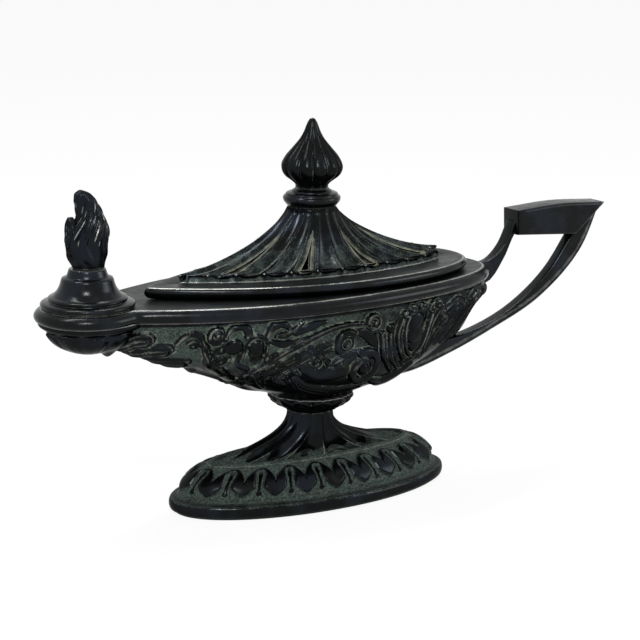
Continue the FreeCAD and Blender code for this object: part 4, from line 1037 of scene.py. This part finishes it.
def closed_up(piece):
    """Merge what lies together, so that strips and flats become one closed mesh."""
    mesh = bmesh.new()
    mesh.from_mesh(piece.data)
    bmesh.ops.remove_doubles(mesh, verts=mesh.verts, dist=closing_distance * MM)
    bmesh.ops.dissolve_degenerate(mesh, edges=mesh.edges, dist=closing_distance * MM / 4)
    bmesh.ops.recalc_face_normals(mesh, faces=mesh.faces)
    for edge in mesh.edges:
        edge.smooth = edge.calc_face_angle(0) < sharp_angle
    mesh.to_mesh(piece.data)
    mesh.free()
    return piece


def mark_filed_top(piece, top):
    """A flat top that was filed is satin, and its edge is rubbed bright, a pale line that also serves as a
    painted highlight.
    """
    heights = heights_mm(piece)
    store(piece, arris=(heights > top - 0.2) & (heights < top - 0.01), satin=step_up(heights, top - 0.2, top))


rim_deck = closed_up(joined("rim_deck_band", deck_parts(), filed_bronze))
mark_filed_top(rim_deck, deck_top)
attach(rim_deck, "stand")
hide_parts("rim_deck")

# Handle, two rounded straps that part from a thumb plate and run to the bowl's right end. Cast bronze, its
# upper strap rooted in a small scroll, screwed on from inside the bowl.
strap_width = 6.6
strap_squareness = 3.4
strap_hollow_share = 0.2
thumb_width = 10.8
thumb_ease = 1.2
thumb_corners = [(92.2, 100.2), (115.0, 101.2), (135.8, 100.0)]
thumb_under = [(121.5, 88.2), (92.6, 90.4)]
lower_outer = [(135.8, 100.0), (127.4, 82.6), (107.0, 64.3), (83.1, 53.4), (62.0, 45.7), (44.0, 41.0),
               (33.0, 40.2)]
lower_inner = [(121.5, 88.2), (110.4, 74.2), (91.6, 60.6), (69.0, 53.0), (59.0, 51.6), (48.0, 48.4),
               (36.0, 45.0)]
upper_outer = [(91.9, 95.6), (87.4, 86.6), (80.6, 81.2), (74.0, 80.4)]
upper_inner = [(97.4, 95.6), (92.6, 90.4), (87.6, 81.0), (80.6, 72.6), (73.0, 71.0)]
root_place = (76.2, 70.6)
root_edge = [(3.3, 2.5), (2.9, 3.3), (2.2, 3.7), (0.01, 3.7)]
bright_line = 0.4
bright_line_half = 0.55
sheen_line = 2.2
sheen_line_half = 1.3


def offset_outline(outline, inset):
    """The outline moved inwards by inset, with true corners."""
    ahead = np.roll(outline, -1, 0) - outline
    behind = outline - np.roll(outline, 1, 0)
    ahead /= np.hypot(*ahead.T)[:, None]
    behind /= np.hypot(*behind.T)[:, None]
    area = (outline[:, 0] * np.roll(outline[:, 1], -1) - np.roll(outline[:, 0], -1) * outline[:, 1]).sum()
    inward = np.column_stack([-(ahead + behind)[:, 1], (ahead + behind)[:, 0]]) * np.sign(area)
    return outline + inward * inset / (1 + (ahead * behind).sum(1))[:, None]


def bevelled_plate(outline, width, ease):
    """A flat plate across the Y axis, with its two long edges rounded off by ease."""
    turns = np.linspace(0, math.pi / 2, 6)
    edge = [(ease + 0.3, 0)] + [(ease * (1 - math.sin(turn)), ease * (1 - math.cos(turn))) for turn in turns]
    rows = []
    for inset, depth in edge:
        flat = offset_outline(outline, inset)
        rows.append(np.column_stack([flat[:, 0], np.full(len(flat), depth - width / 2), flat[:, 1]]))
    rows += [row * [1, -1, 1] for row in reversed(rows)]
    faces = grid_faces(len(rows), len(outline))
    caps = fill_between([tuple(corner) for corner in rows[0][:, [0, 2]]], ring_edges(len(outline)))
    last = (len(rows) - 1) * len(outline)
    faces += caps + [tuple(last + corner for corner in face[::-1]) for face in caps]
    return np.array(rows).reshape(-1, 3), faces


def outline_through(*runs):
    """A closed outline from runs of points, each one a smooth line, with no point just beside a corner."""
    clear = 3.0
    outline = []
    for run in runs:
        line = smooth_path(run, 24 * (len(run) - 1))
        gaps = np.minimum(np.hypot(*(line - line[0]).T), np.hypot(*(line - line[-1]).T))
        outline += [line[0]] + [corner for corner, gap in zip(line, gaps) if gap > clear]
    return np.array(outline)


def strap_part(outer, inner):
    """A closed bar between an outer and an inner line. Its section is rounded, with slightly hollow sides."""
    steps = 130
    columns = 56
    power = 2 / strap_squareness
    turns = np.linspace(0, 2 * math.pi, columns, endpoint=False)
    along, across = (np.sign(wave) * np.abs(wave) ** power for wave in (np.cos(turns), np.sin(turns)))
    across = across * (1 - strap_hollow_share * (1 - along ** 2))
    rows = []
    for far, near in zip(smooth_path(outer, steps), smooth_path(inner, steps)):
        middle = (far + near) / 2
        half = (far - near) / 2
        rows.append(np.column_stack([middle[0] + half[0] * along, strap_width / 2 * across,
                                     middle[1] + half[1] * along]))
    faces = grid_faces(steps, columns)
    faces += [tuple(range(columns))[::-1], tuple((steps - 1) * columns + column for column in range(columns))]
    return np.array(rows).reshape(-1, 3), faces


def handle_parts():
    """The two straps, the thumb plate and the small scroll at the upper strap's root."""
    thumb = outline_through(thumb_corners, [thumb_corners[-1], thumb_under[0]], thumb_under,
                            [thumb_under[-1], thumb_corners[0]])
    root_profile = [(radius, -side) for radius, side in reversed(root_edge)] + root_edge
    root, root_faces = turned_part(root_profile, 48)
    root = root[:, [0, 2, 1]] + [root_place[0], 0, root_place[1]]
    return [strap_part(lower_outer, lower_inner), strap_part(upper_outer, upper_inner),
            bevelled_plate(thumb, thumb_width, thumb_ease), (root, root_faces)]


handle = closed_up(joined("handle_straps", handle_parts(), filed_bronze))
handle_points = points_mm(handle)
lower_edge = smooth_path(lower_outer, 400)
edge_gap = np.hypot(handle_points[:, None, 0] - lower_edge[None, :, 0],
                    handle_points[:, None, 2] - lower_edge[None, :, 1]).min(1)
strap_side = step_up(np.abs(handle_points[:, 1]) / (strap_width / 2), 0.35, 0.6)
# Painted highlights on the straps' sides: a thin bright line just above the lower outer edge and a broad
# painted sheen a little higher, both in the pale rubbed colour.
store(handle, arris=np.exp(-((edge_gap - bright_line) / bright_line_half) ** 2) * strap_side,
      crest=np.exp(-((edge_gap - sheen_line) / sheen_line_half) ** 2) * strap_side * 0.8,
      satin=np.full(len(handle_points), 0.4))
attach(handle, "stand")
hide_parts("handle")

# Lid plate, the pointed oval plate of the lid: cast bronze with a rounded edge on a thin raised foot, open
# under the dome, which is soldered on it.
lift_gap = 0.2
lid_plate_top = 86.0
dome_left_reach = 55.4
dome_right_reach = 56.4
dome_half_width = 18.0
dome_widest_x = 4.0
dome_wall = 3.0


def dome_loop(inset, steps):
    """The outline of the dome's foot, moved in by inset, and by twice that at its left tip."""
    half = boat_half(dome_left_reach - inset * 2, dome_right_reach - inset, dome_widest_x,
                     dome_half_width - inset, 1.0, 0.45, oval_steps)
    return even_corners(both_sides(half), steps)


plate_rows = [(2.6, 0.2), (2.3, 0.25), (1.5, 0.55), (0.8, 1.0), (0.3, 1.6), (0.0, 2.3), (0.1, 2.9),
              (0.4, 3.5), (0.8, 3.9), (1.3, 4.15), (1.7, 4.27), (2.1, 4.3), (3.0, 4.3)]
plate_loops = [at_height(lid_loop(inset), deck_top + rise) for inset, rise in plate_rows]
plate_loops += [at_height(dome_loop(dome_wall, loop_steps), z) for z in (lid_plate_top, deck_top + lift_gap)]
lid_plate = new_piece("lid_plate_oval", np.vstack(plate_loops),
                      grid_faces(len(plate_loops), loop_steps, round_rows=True), filed_bronze)
mark_filed_top(lid_plate, lid_plate_top)
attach(lid_plate, "lid")
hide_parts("lid_plate")

# Lid dome, the fluted crown of the lid: twenty-four hollow flutes with sharp ridges over a scalloped skirt,
# and a framed triangular vent through every third flute for the smoke. Thin cast bronze, soldered to the
# plate.
dome_skirt_top = 89.2
dome_top = 109.4
dome_top_radius = 8.9
dome_flute_count = 24
dome_flute_share = 0.17
dome_nose_share = 0.45
vent_low_share = 0.88
vent_high_share = 0.3
vent_base_share = 0.2
vent_tip_share = 0.012
vent_frame_height = 0.5
skirt_span = 0.16
lip_rise = 0.3
ridge_rise = 0.22
crown_profile = [(2.3, 107.0), (8.3, 107.0), (8.6, 107.6), (8.9, 109.4), (2.3, 109.4)]


def dome_out(level):
    """Share of the way out from the crown to the skirt. Levels below 0 are the skirt."""
    return np.clip(1 - level, 0, 1)


def dome_rise(level):
    """Share of the height, up the skirt first and then over the round crown."""
    skirt = (dome_skirt_top - lid_plate_top) / (dome_top - lid_plate_top)
    crown = (1 - np.clip(1 - level, 0, 1) ** 0.81) ** 1.5
    return np.where(level < 0, skirt * (level + skirt_span) / skirt_span, skirt + (1 - skirt) * crown)


def dome_tile(name, depth_share, vented):
    """One hollow flute with half a ridge at each side, over its scallop of the skirt. A vented one has a
    triangular hole in a raised frame."""
    columns = 24
    skirt_levels = np.linspace(-skirt_span, -0.01, 9)
    crown_levels = np.concatenate([np.linspace(0.01, 1 - vent_low_share, 9, endpoint=False),
                                   np.linspace(1 - vent_low_share, 1 - vent_high_share, 40),
                                   np.linspace(1 - vent_high_share, 1, 8)[1:]])
    outer = np.concatenate([skirt_levels, crown_levels])
    levels = np.concatenate([outer, outer[::-1]])
    out = dome_out(levels)
    if vented:
        widening = np.clip((out - vent_high_share) / (vent_low_share - vent_high_share), 0, 1)
        half = vent_tip_share + (vent_base_share - vent_tip_share) * widening
        steps = [np.concatenate([np.linspace(0, 0.5 - gap, 9), np.linspace(0.5 - gap, 0.5 + gap, 7)[1:],
                                 np.linspace(0.5 + gap, 1, 11)[1:]]) for gap in half]
        shares = np.array(steps)
        hole_columns = (8, 14)
        low_row = int(np.argmin(np.abs(outer - (1 - vent_low_share))))
        high_row = int(np.argmin(np.abs(outer - (1 - vent_high_share))))
        count = len(levels)
        skipped = ((low_row, high_row), (count - 1 - high_row, count - 1 - low_row), hole_columns)
    else:
        half = np.zeros(len(levels))
        shares = even_shares(columns, levels)
        skipped = None
    rim = np.zeros_like(shares)
    # The flute grows shallower towards the crown, and down the skirt it runs out into a slight bulge.
    fading = 1 - 0.6 * step_up(levels, 0.65, 1.0)
    scallop = -0.15 + 1.15 * step_up(levels, -skirt_span, -0.02)
    share_lift = -depth_share * (1 - (2 * shares - 1) ** 2) * (fading * scallop)[:, None]
    # A lip runs along both edges of the skirt, with a block under each ridge, and the ridges stand up.
    lip = (np.exp(-((levels + 0.02) / 0.022) ** 2) + np.exp(-((levels + skirt_span) / 0.02) ** 2)) * lip_rise
    beside_middle = np.abs(shares - 0.5)
    block = 0.35 * np.exp(-((levels + 0.02) / 0.03) ** 2)[:, None] * step_up(beside_middle, 0.4, 0.47)
    ridge_fading = (step_up(levels, 0.0, 0.05) * fading)[:, None]
    ridge = ridge_rise * step_up(beside_middle, 0.455, 0.485) * ridge_fading
    lift = lip[:, None] + block + ridge
    if vented:
        beside = (beside_middle - half[:, None]) * (0.5 + 0.5 * out[:, None])
        above = np.clip(vent_high_share - out, 0, 1)[:, None] * 1.6
        below = np.clip(out - vent_low_share, 0, 1)[:, None] * 1.6
        gap = np.clip(beside, 0, 1) + above + below
        rim = 1 - step_up(gap, 0.13, 0.19)
        lift = lift + vent_frame_height * rim
    lift[len(outer):] = -dome_wall * 0.7
    share_lift[len(outer):] = -depth_share * 0.9
    skirt_ground = 0.6 * (1 - step_up(levels, -0.05, -0.01))
    flute_ground = 0.56 * step_up(levels, 0, 0.05) * (1 - step_up(levels, 0.5, 0.95))
    # The skirt's lower lip and the ridges take the pale rubbed colour: rubbed edges that also serve as
    # painted highlights.
    pale_lip = 0.6 * np.exp(-((levels + skirt_span) / 0.012) ** 2)
    bright = pale_lip[:, None] + ridge * 3.2
    return motif_tile(name, shares, levels, dome_out, dome_rise, lift, share_lift, skipped,
                      ground=skirt_ground + flute_ground, vent_frame=rim, arris=bright)


dome_feet = dome_loop(0, dome_flute_count)
crown_turns = math.pi + 2 * math.pi * np.arange(dome_flute_count) / dome_flute_count
crown_feet = oval(dome_top_radius, dome_top_radius, crown_turns)
flute_tiles = [dome_tile("plain_flute", dome_flute_share, False),
               dome_tile("vented_flute", dome_flute_share, True),
               dome_tile("nose_flute", dome_flute_share * dome_nose_share, False)]
flute_kinds = [1 if number % 3 == 1 else 0 for number in range(dome_flute_count)]
flute_kinds[0] = 2
flute_kinds[-1] = 2
lid_dome = wrapped_row("lid_dome_flutes", flute_tiles, flute_kinds,
                       chord_outline(dome_feet), chord_outline(crown_feet), lid_plate_top, dome_top)
dome_heights = heights_mm(lid_dome)
dome_hollows = 0.1 + 0.6 * step_up(dome_heights, dome_skirt_top + 0.2, dome_skirt_top + 1.2)
below_crown = 1 - step_up(dome_heights, dome_top - 3.2, dome_top - 2.2)
weather(lid_dome, 0.45, 5, dome_hollows, below_crown)
crown = joined("lid_dome_crown", [turned_part(crown_profile, 96)])
for piece in (lid_dome, crown):
    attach(piece, "lid")
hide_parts("lid_dome")

# Finial and its collar: a double bead turned from bronze bar, and above it a cast onion of twelve lobes that
# draw together to a point. Both are clamped on the dome by a stud from inside.
finial_lobe_count = 12
finial_tip = 142.0
collar_top = 116.6
onion_heights = [116.6, 117.6, 119.0, 121.3, 124.3, 127.2, 130.7, 134.2, 137.0, 139.6, 141.1, 141.8, 142.0]
onion_radii = [6.0, 6.3, 7.4, 10.2, 11.4, 10.2, 7.4, 4.6, 3.1, 2.1, 1.3, 0.6, 0.0]
onion_swell = 11.4
collar_profile = [(2.3, 109.4), (8.7, 109.4), (9.1, 109.9), (9.8, 110.7), (10.4, 111.5), (10.65, 112.3),
                  (10.6, 113.0), (10.2, 113.5), (9.6, 113.7), (9.7, 114.0), (9.5, 114.4), (8.8, 114.7),
                  (7.6, 114.8), (7.5, 115.1), (7.2, 115.5), (6.6, 115.8), (6.3, 116.2), (6.0, 116.6),
                  (2.3, 116.6)]


def onion_out(level):
    """The onion's radius as a share of its widest one."""
    height = collar_top + (finial_tip - collar_top) * np.clip(level, 0, 1)
    return smooth_values(onion_heights, onion_radii, height) / onion_swell


def finial_tile():
    """One upright lobe of the onion, with a crease at each side that shallows towards the tip."""
    outer = np.linspace(0, 1, 90)
    levels = np.concatenate([outer, outer[::-6]])
    shares = even_shares(14, levels)
    lobe = np.sqrt(np.clip(1 - (2 * shares - 1) ** 2, 0, 1))
    depth = 0.34 * step_up(levels, 0.0, 0.12) * (1 - 0.9 * step_up(levels, 0.7, 1.0))
    share_lift = (lobe - 0.75) * depth[:, None]
    share_lift[len(outer):] = -1.1
    return motif_tile("finial_tile", shares, levels, onion_out, lambda level: np.clip(level, 0, 1),
                      np.zeros_like(shares), share_lift)


lobe_feet = circle_loop(onion_swell, finial_lobe_count)
finial = wrapped_row("finial_onion", [finial_tile()], [0] * finial_lobe_count,
                     chord_outline(lobe_feet), chord_outline(lobe_feet * 0), collar_top, finial_tip)
weather(finial, 0.9, 5)
collar = joined("finial_double_bead", [turned_part(collar_profile, 120)], filed_bronze)
weather(collar, 0.5, 3)
for piece, node in ((finial, "finial"), (collar, "finial_collar")):
    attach(piece, "lid")
    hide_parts(node)

# Nozzle cap, the stepped round lid of the spout, turned from a bronze casting: a rounded flange, a bead, a
# hollow bell and a small collar that carries the flame. It lifts off the wick holder's collar.
cap_profile = [(16.0, 81.75), (16.4, 82.1), (16.6, 82.6), (16.6, 83.1), (16.2, 83.6), (15.2, 83.9),
               (14.2, 84.1), (13.7, 84.3), (13.9, 84.6), (14.0, 85.0), (13.7, 85.4), (13.2, 85.7),
               (12.6, 85.8), (12.2, 86.1), (11.4, 86.9), (10.7, 87.7), (10.1, 88.7), (9.7, 89.7),
               (9.4, 90.7), (9.2, 91.5), (8.9, 92.1), (8.2, 92.4), (7.5, 92.6), (7.2, 93.0),
               (6.9, 93.9), (6.6, 94.8), (6.4, 95.3), (6.0, 95.5), (1.7, 95.5), (1.7, 90.4),
               (6.2, 90.3), (6.2, 84.6), (8.3, 84.6), (8.3, 81.9)]
nozzle_cap = joined("nozzle_cap_turned", [turned_part(cap_profile, 144, nozzle_x)], filed_bronze)
weather(nozzle_cap, 0.5, 2, 0.8)
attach(nozzle_cap, "cap")
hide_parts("nozzle_cap")

# Flame, a solid cast flame screwed on the cap: a main tongue that leans to the left at its tip and a short
# side tongue, both with flowing grooves.
flame_heights = [95.5, 98.7, 103.2, 107.1, 111.1, 113.2, 117.2, 120.4, 122.2, 123.0]
flame_shifts = [0.6, 0.0, 0.2, 0.7, 1.2, 1.2, 0.4, -1.0, -1.8, -2.2]
flame_halves = [5.7, 6.7, 7.2, 7.2, 6.0, 5.0, 4.2, 3.4, 2.0, 0.5]
side_heights = [97.0, 101.0, 105.5, 109.5, 112.2, 113.8]
side_shifts = [-1.6, -3.6, -5.0, -5.6, -5.9, -6.1]
side_halves = [2.6, 3.4, 3.0, 2.4, 1.8, 0.9]
flame_flatness = 0.8
tip_half = 0.15


def tongue_part(heights, shifts, halves, seed):
    """A grooved tongue along a bent middle line, twisted as it climbs, and the shine of its worn strands."""
    columns = 200
    rows = 90
    turns = np.linspace(0, 2 * math.pi, columns, endpoint=False)
    levels = np.linspace(heights[0], heights[-1], rows)
    shift = smooth_values(heights, shifts, levels)
    half = np.maximum(smooth_values(heights, halves, levels), tip_half)
    points = []
    shine = []
    for level, middle, reach in zip(levels, shift, half):
        share = (level - heights[0]) / (heights[-1] - heights[0])
        twist = turns + 1.1 * math.sin(share * 3.2 + seed)
        groove = (np.abs(np.sin(twist * 4.5)) - 0.6) * 0.12
        groove = groove + (np.abs(np.sin(twist * 2 + share * 5)) - 0.6) * 0.1
        strands = 0.03 * np.sin(twist * 18 + 3 * np.sin(share * 9)) + 0.025 * np.sin(twist * 31 - 4 * share)
        groove = groove + strands * step_up(share, 0.2, 0.4)
        size = reach * (1 + groove * step_up(share, 0.02, 0.2))
        ring = oval(size, flame_flatness * size, turns) + [nozzle_x + middle, 0]
        points.append(at_height(ring, level))
        # The strands' pale rubbed colour over the middle heights is rubbed wear that also serves as painted
        # highlights.
        worn_shine_span = step_up(share, 0.22, 0.36) * (1 - step_up(share, 0.8, 0.95))
        shine.append(worn_shine_span * step_up(strands, 0.012, 0.045) * (0.75 + 0.2 * np.sin(twist * 7 + share * 12)))
    points += [(nozzle_x + shift[0], 0, heights[0]), (nozzle_x + shift[-1], 0, heights[-1] + 0.1)]
    count = rows * columns
    faces = grid_faces(rows, columns) + end_fans(rows, columns, count, count + 1)
    return np.vstack(points), faces, np.concatenate([np.ravel(shine), [0, 0]])


tongues = [tongue_part(flame_heights, flame_shifts, flame_halves, 0.4),
           tongue_part(side_heights, side_shifts, side_halves, 2.0)]
flame = joined("flame_tongues", [tongue[:2] for tongue in tongues])
weather(flame, 0.3, 3, 0.5, arris=np.concatenate([tongue[2] for tongue in tongues]))
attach(flame, "cap")
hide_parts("flame")

# Small fittings that keep their CAD shape: zinc-plated steel screws, bolt, nuts and washers, the spun brass
# wick holder and incense dish, the cotton wick, the felt under the foot, and the ring under the lid.


def zinc_plated_steel():
    """Bright zinc on turned steel: pale grey, faintly blue, with fine turning marks."""
    material, tree, shader, place = start_material("zinc_plated_steel", Metallic=1.0)
    marks = grain(tree, place, 0.4)
    grey = mix_colour(tree, marks, "#9a9ea3", "#b9bdc2")
    tree.links.new(grey, shader.inputs["Base Color"])
    tree.links.new(ramp(tree, marks, 0.3, 0.7, 0.28, 0.42), shader.inputs["Roughness"])
    return material


def spun_brass():
    """Spun brass that has dulled with heat: warm yellow with brown clouds."""
    material, tree, shader, place = start_material("spun_brass", Metallic=1.0)
    clouds = grain(tree, place, 6.0)
    yellow = mix_colour(tree, ramp(tree, clouds, 0.35, 0.7), "#b08d4a", "#7d5f2f")
    tree.links.new(yellow, shader.inputs["Base Color"])
    tree.links.new(ramp(tree, clouds, 0.3, 0.7, 0.25, 0.45), shader.inputs["Roughness"])
    return material


def wool_felt():
    """Pressed wool felt, dark green and fuzzy."""
    material, tree, shader, place = start_material("pressed_wool_felt", Roughness=0.95)
    shader.inputs["Sheen Weight"].default_value = 0.4
    fibres = grain(tree, place, 0.5, 6.0)
    green = mix_colour(tree, fibres, "#15241b", "#2c4133")
    tree.links.new(green, shader.inputs["Base Color"])
    bump = add_node(tree, "ShaderNodeBump", {"Height": fibres, "Strength": 0.6, "Distance": 0.3 * MM})
    tree.links.new(bump.outputs[0], shader.inputs["Normal"])
    return material


def cotton_wick():
    """Braided cotton, off-white and charred at its top."""
    braid_width = 4.0
    char_bottom = 83.0
    char_top = 84.7
    material, tree, shader, place = start_material("braided_cotton", Roughness=0.9)
    height = add_node(tree, "ShaderNodeSeparateXYZ", {0: place}).outputs[2]
    waves = {"Vector": place, "Scale": 1 / (braid_width * MM), "Distortion": 2.0}
    braid = add_node(tree, "ShaderNodeTexWave", waves, bands_direction="DIAGONAL").outputs[1]
    cotton = mix_colour(tree, braid, "#b8ab8f", "#e2d8c2")
    char = ramp(tree, height, char_bottom * MM, char_top * MM)
    tree.links.new(mix_colour(tree, char, cotton, "#1c1814"), shader.inputs["Base Color"])
    bump = add_node(tree, "ShaderNodeBump", {"Height": braid, "Strength": 0.5, "Distance": 0.2 * MM})
    tree.links.new(bump.outputs[0], shader.inputs["Normal"])
    return material


fitting_finishes = [
    (zinc_plated_steel(), ("tie_bolt", "tie_washer", "tie_nut", "handle_screw_low", "handle_screw_high",
                           "finial_stud", "finial_washer", "finial_nut", "flame_screw")),
    (spun_brass(), ("wick_holder", "incense_dish")),
    (wool_felt(), ("foot_felt",)),
    (cotton_wick(), ("wick",)),
    (bronze, ("locating_ring",))]
for finish, nodes in fitting_finishes:
    for node in nodes:
        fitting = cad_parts[node]
        fitting.data.materials.clear()
        fitting.data.materials.append(finish)

# Camera, floor and lamps: the photograph's view from the front left and a little above, on a white floor in
# soft studio light.
camera_place = (-0.3986, -0.6364, 0.2419)
camera_target_height = 0.072
camera_roll_degrees = 0.48
camera_lens = 116.4
camera_shift = (0.0143, -0.0237)


def aim(thing, place, target, roll_degrees=0.0):
    """Put a camera or a lamp at place, looking at target."""
    way = Vector(target) - Vector(place)
    turn = way.to_track_quat("-Z", "Y").to_matrix().to_4x4()
    roll = Matrix.Rotation(math.radians(roll_degrees), 4, "Z")
    thing.matrix_world = Matrix.Translation(place) @ turn @ roll


camera_data = bpy.data.cameras.new("photo_view")
camera_data.lens = camera_lens
camera_data.sensor_width = 36.0
camera_data.shift_x, camera_data.shift_y = camera_shift
camera = bpy.data.objects.new("photo_view", camera_data)
bpy.context.scene.collection.objects.link(camera)
aim(camera, camera_place, (0, 0, camera_target_height), camera_roll_degrees)
bpy.context.scene.camera = camera


def white_stage_finish():
    """Matt white paper that shows pure white to the camera and keeps the lamp's soft shadow."""
    material, tree, shader, place = start_material("white_paper", Roughness=0.9)
    shader.inputs["Base Color"].default_value = linear("#f2f2f2")
    output = [node for node in tree.nodes if node.type == "OUTPUT_MATERIAL"][0]
    ray = add_node(tree, "ShaderNodeLightPath").outputs
    seen = calculate(tree, "MAXIMUM", ray["Is Camera Ray"], ray["Is Glossy Ray"])
    seen = calculate(tree, "MULTIPLY", calculate(tree, "MAXIMUM", seen, ray["Is Transmission Ray"]), 0.9)
    white = add_node(tree, "ShaderNodeEmission", {"Color": linear("#ffffff"), "Strength": 1.0})
    both = add_node(tree, "ShaderNodeMixShader", {0: seen, 1: shader.outputs[0], 2: white.outputs[0]})
    tree.links.new(both.outputs[0], output.inputs["Surface"])
    return material


floor_half = 3000.0
floor = new_piece("floor", [(-floor_half, -floor_half, 0), (floor_half, -floor_half, 0),
                            (floor_half, floor_half, 0), (-floor_half, floor_half, 0)], [(0, 1, 2, 3)],
                  white_stage_finish())

lamp_target_height = 0.08
lamps = [("key_softbox", (-0.55, -0.75, 0.95), 0.3, 0.3, 9.0),
         ("fill_softbox", (0.9, -0.6, 0.5), 0.5, 0.5, 4.0),
         ("overhead_strip", (-0.1, 0.3, 1.05), 1.2, 0.12, 9.0)]
for name, place, length, width, power in lamps:
    light = bpy.data.lights.new(name, "AREA")
    light.shape = "RECTANGLE"
    light.size = length
    light.size_y = width
    light.energy = power
    lamp = bpy.data.objects.new(name, light)
    bpy.context.scene.collection.objects.link(lamp)
    aim(lamp, place, (0, 0, lamp_target_height))

sky_light = 0.45
world = bpy.data.worlds.new("studio")
world.use_nodes = True
world_tree = world.node_tree
world_tree.nodes.clear()
world_ray = add_node(world_tree, "ShaderNodeLightPath").outputs
world_seen = calculate(world_tree, "MAXIMUM", world_ray["Is Camera Ray"], world_ray["Is Transmission Ray"])
world_seen = calculate(world_tree, "MAXIMUM", world_seen, world_ray["Is Glossy Ray"])
world_level = ramp(world_tree, world_seen, 0.0, 1.0, sky_light, 1.0)
sky = add_node(world_tree, "ShaderNodeBackground", {"Color": linear("#ffffff"), "Strength": world_level})
add_node(world_tree, "ShaderNodeOutputWorld", {"Surface": sky.outputs[0]})
bpy.context.scene.world = world
bpy.context.scene.view_settings.view_transform = "Standard"
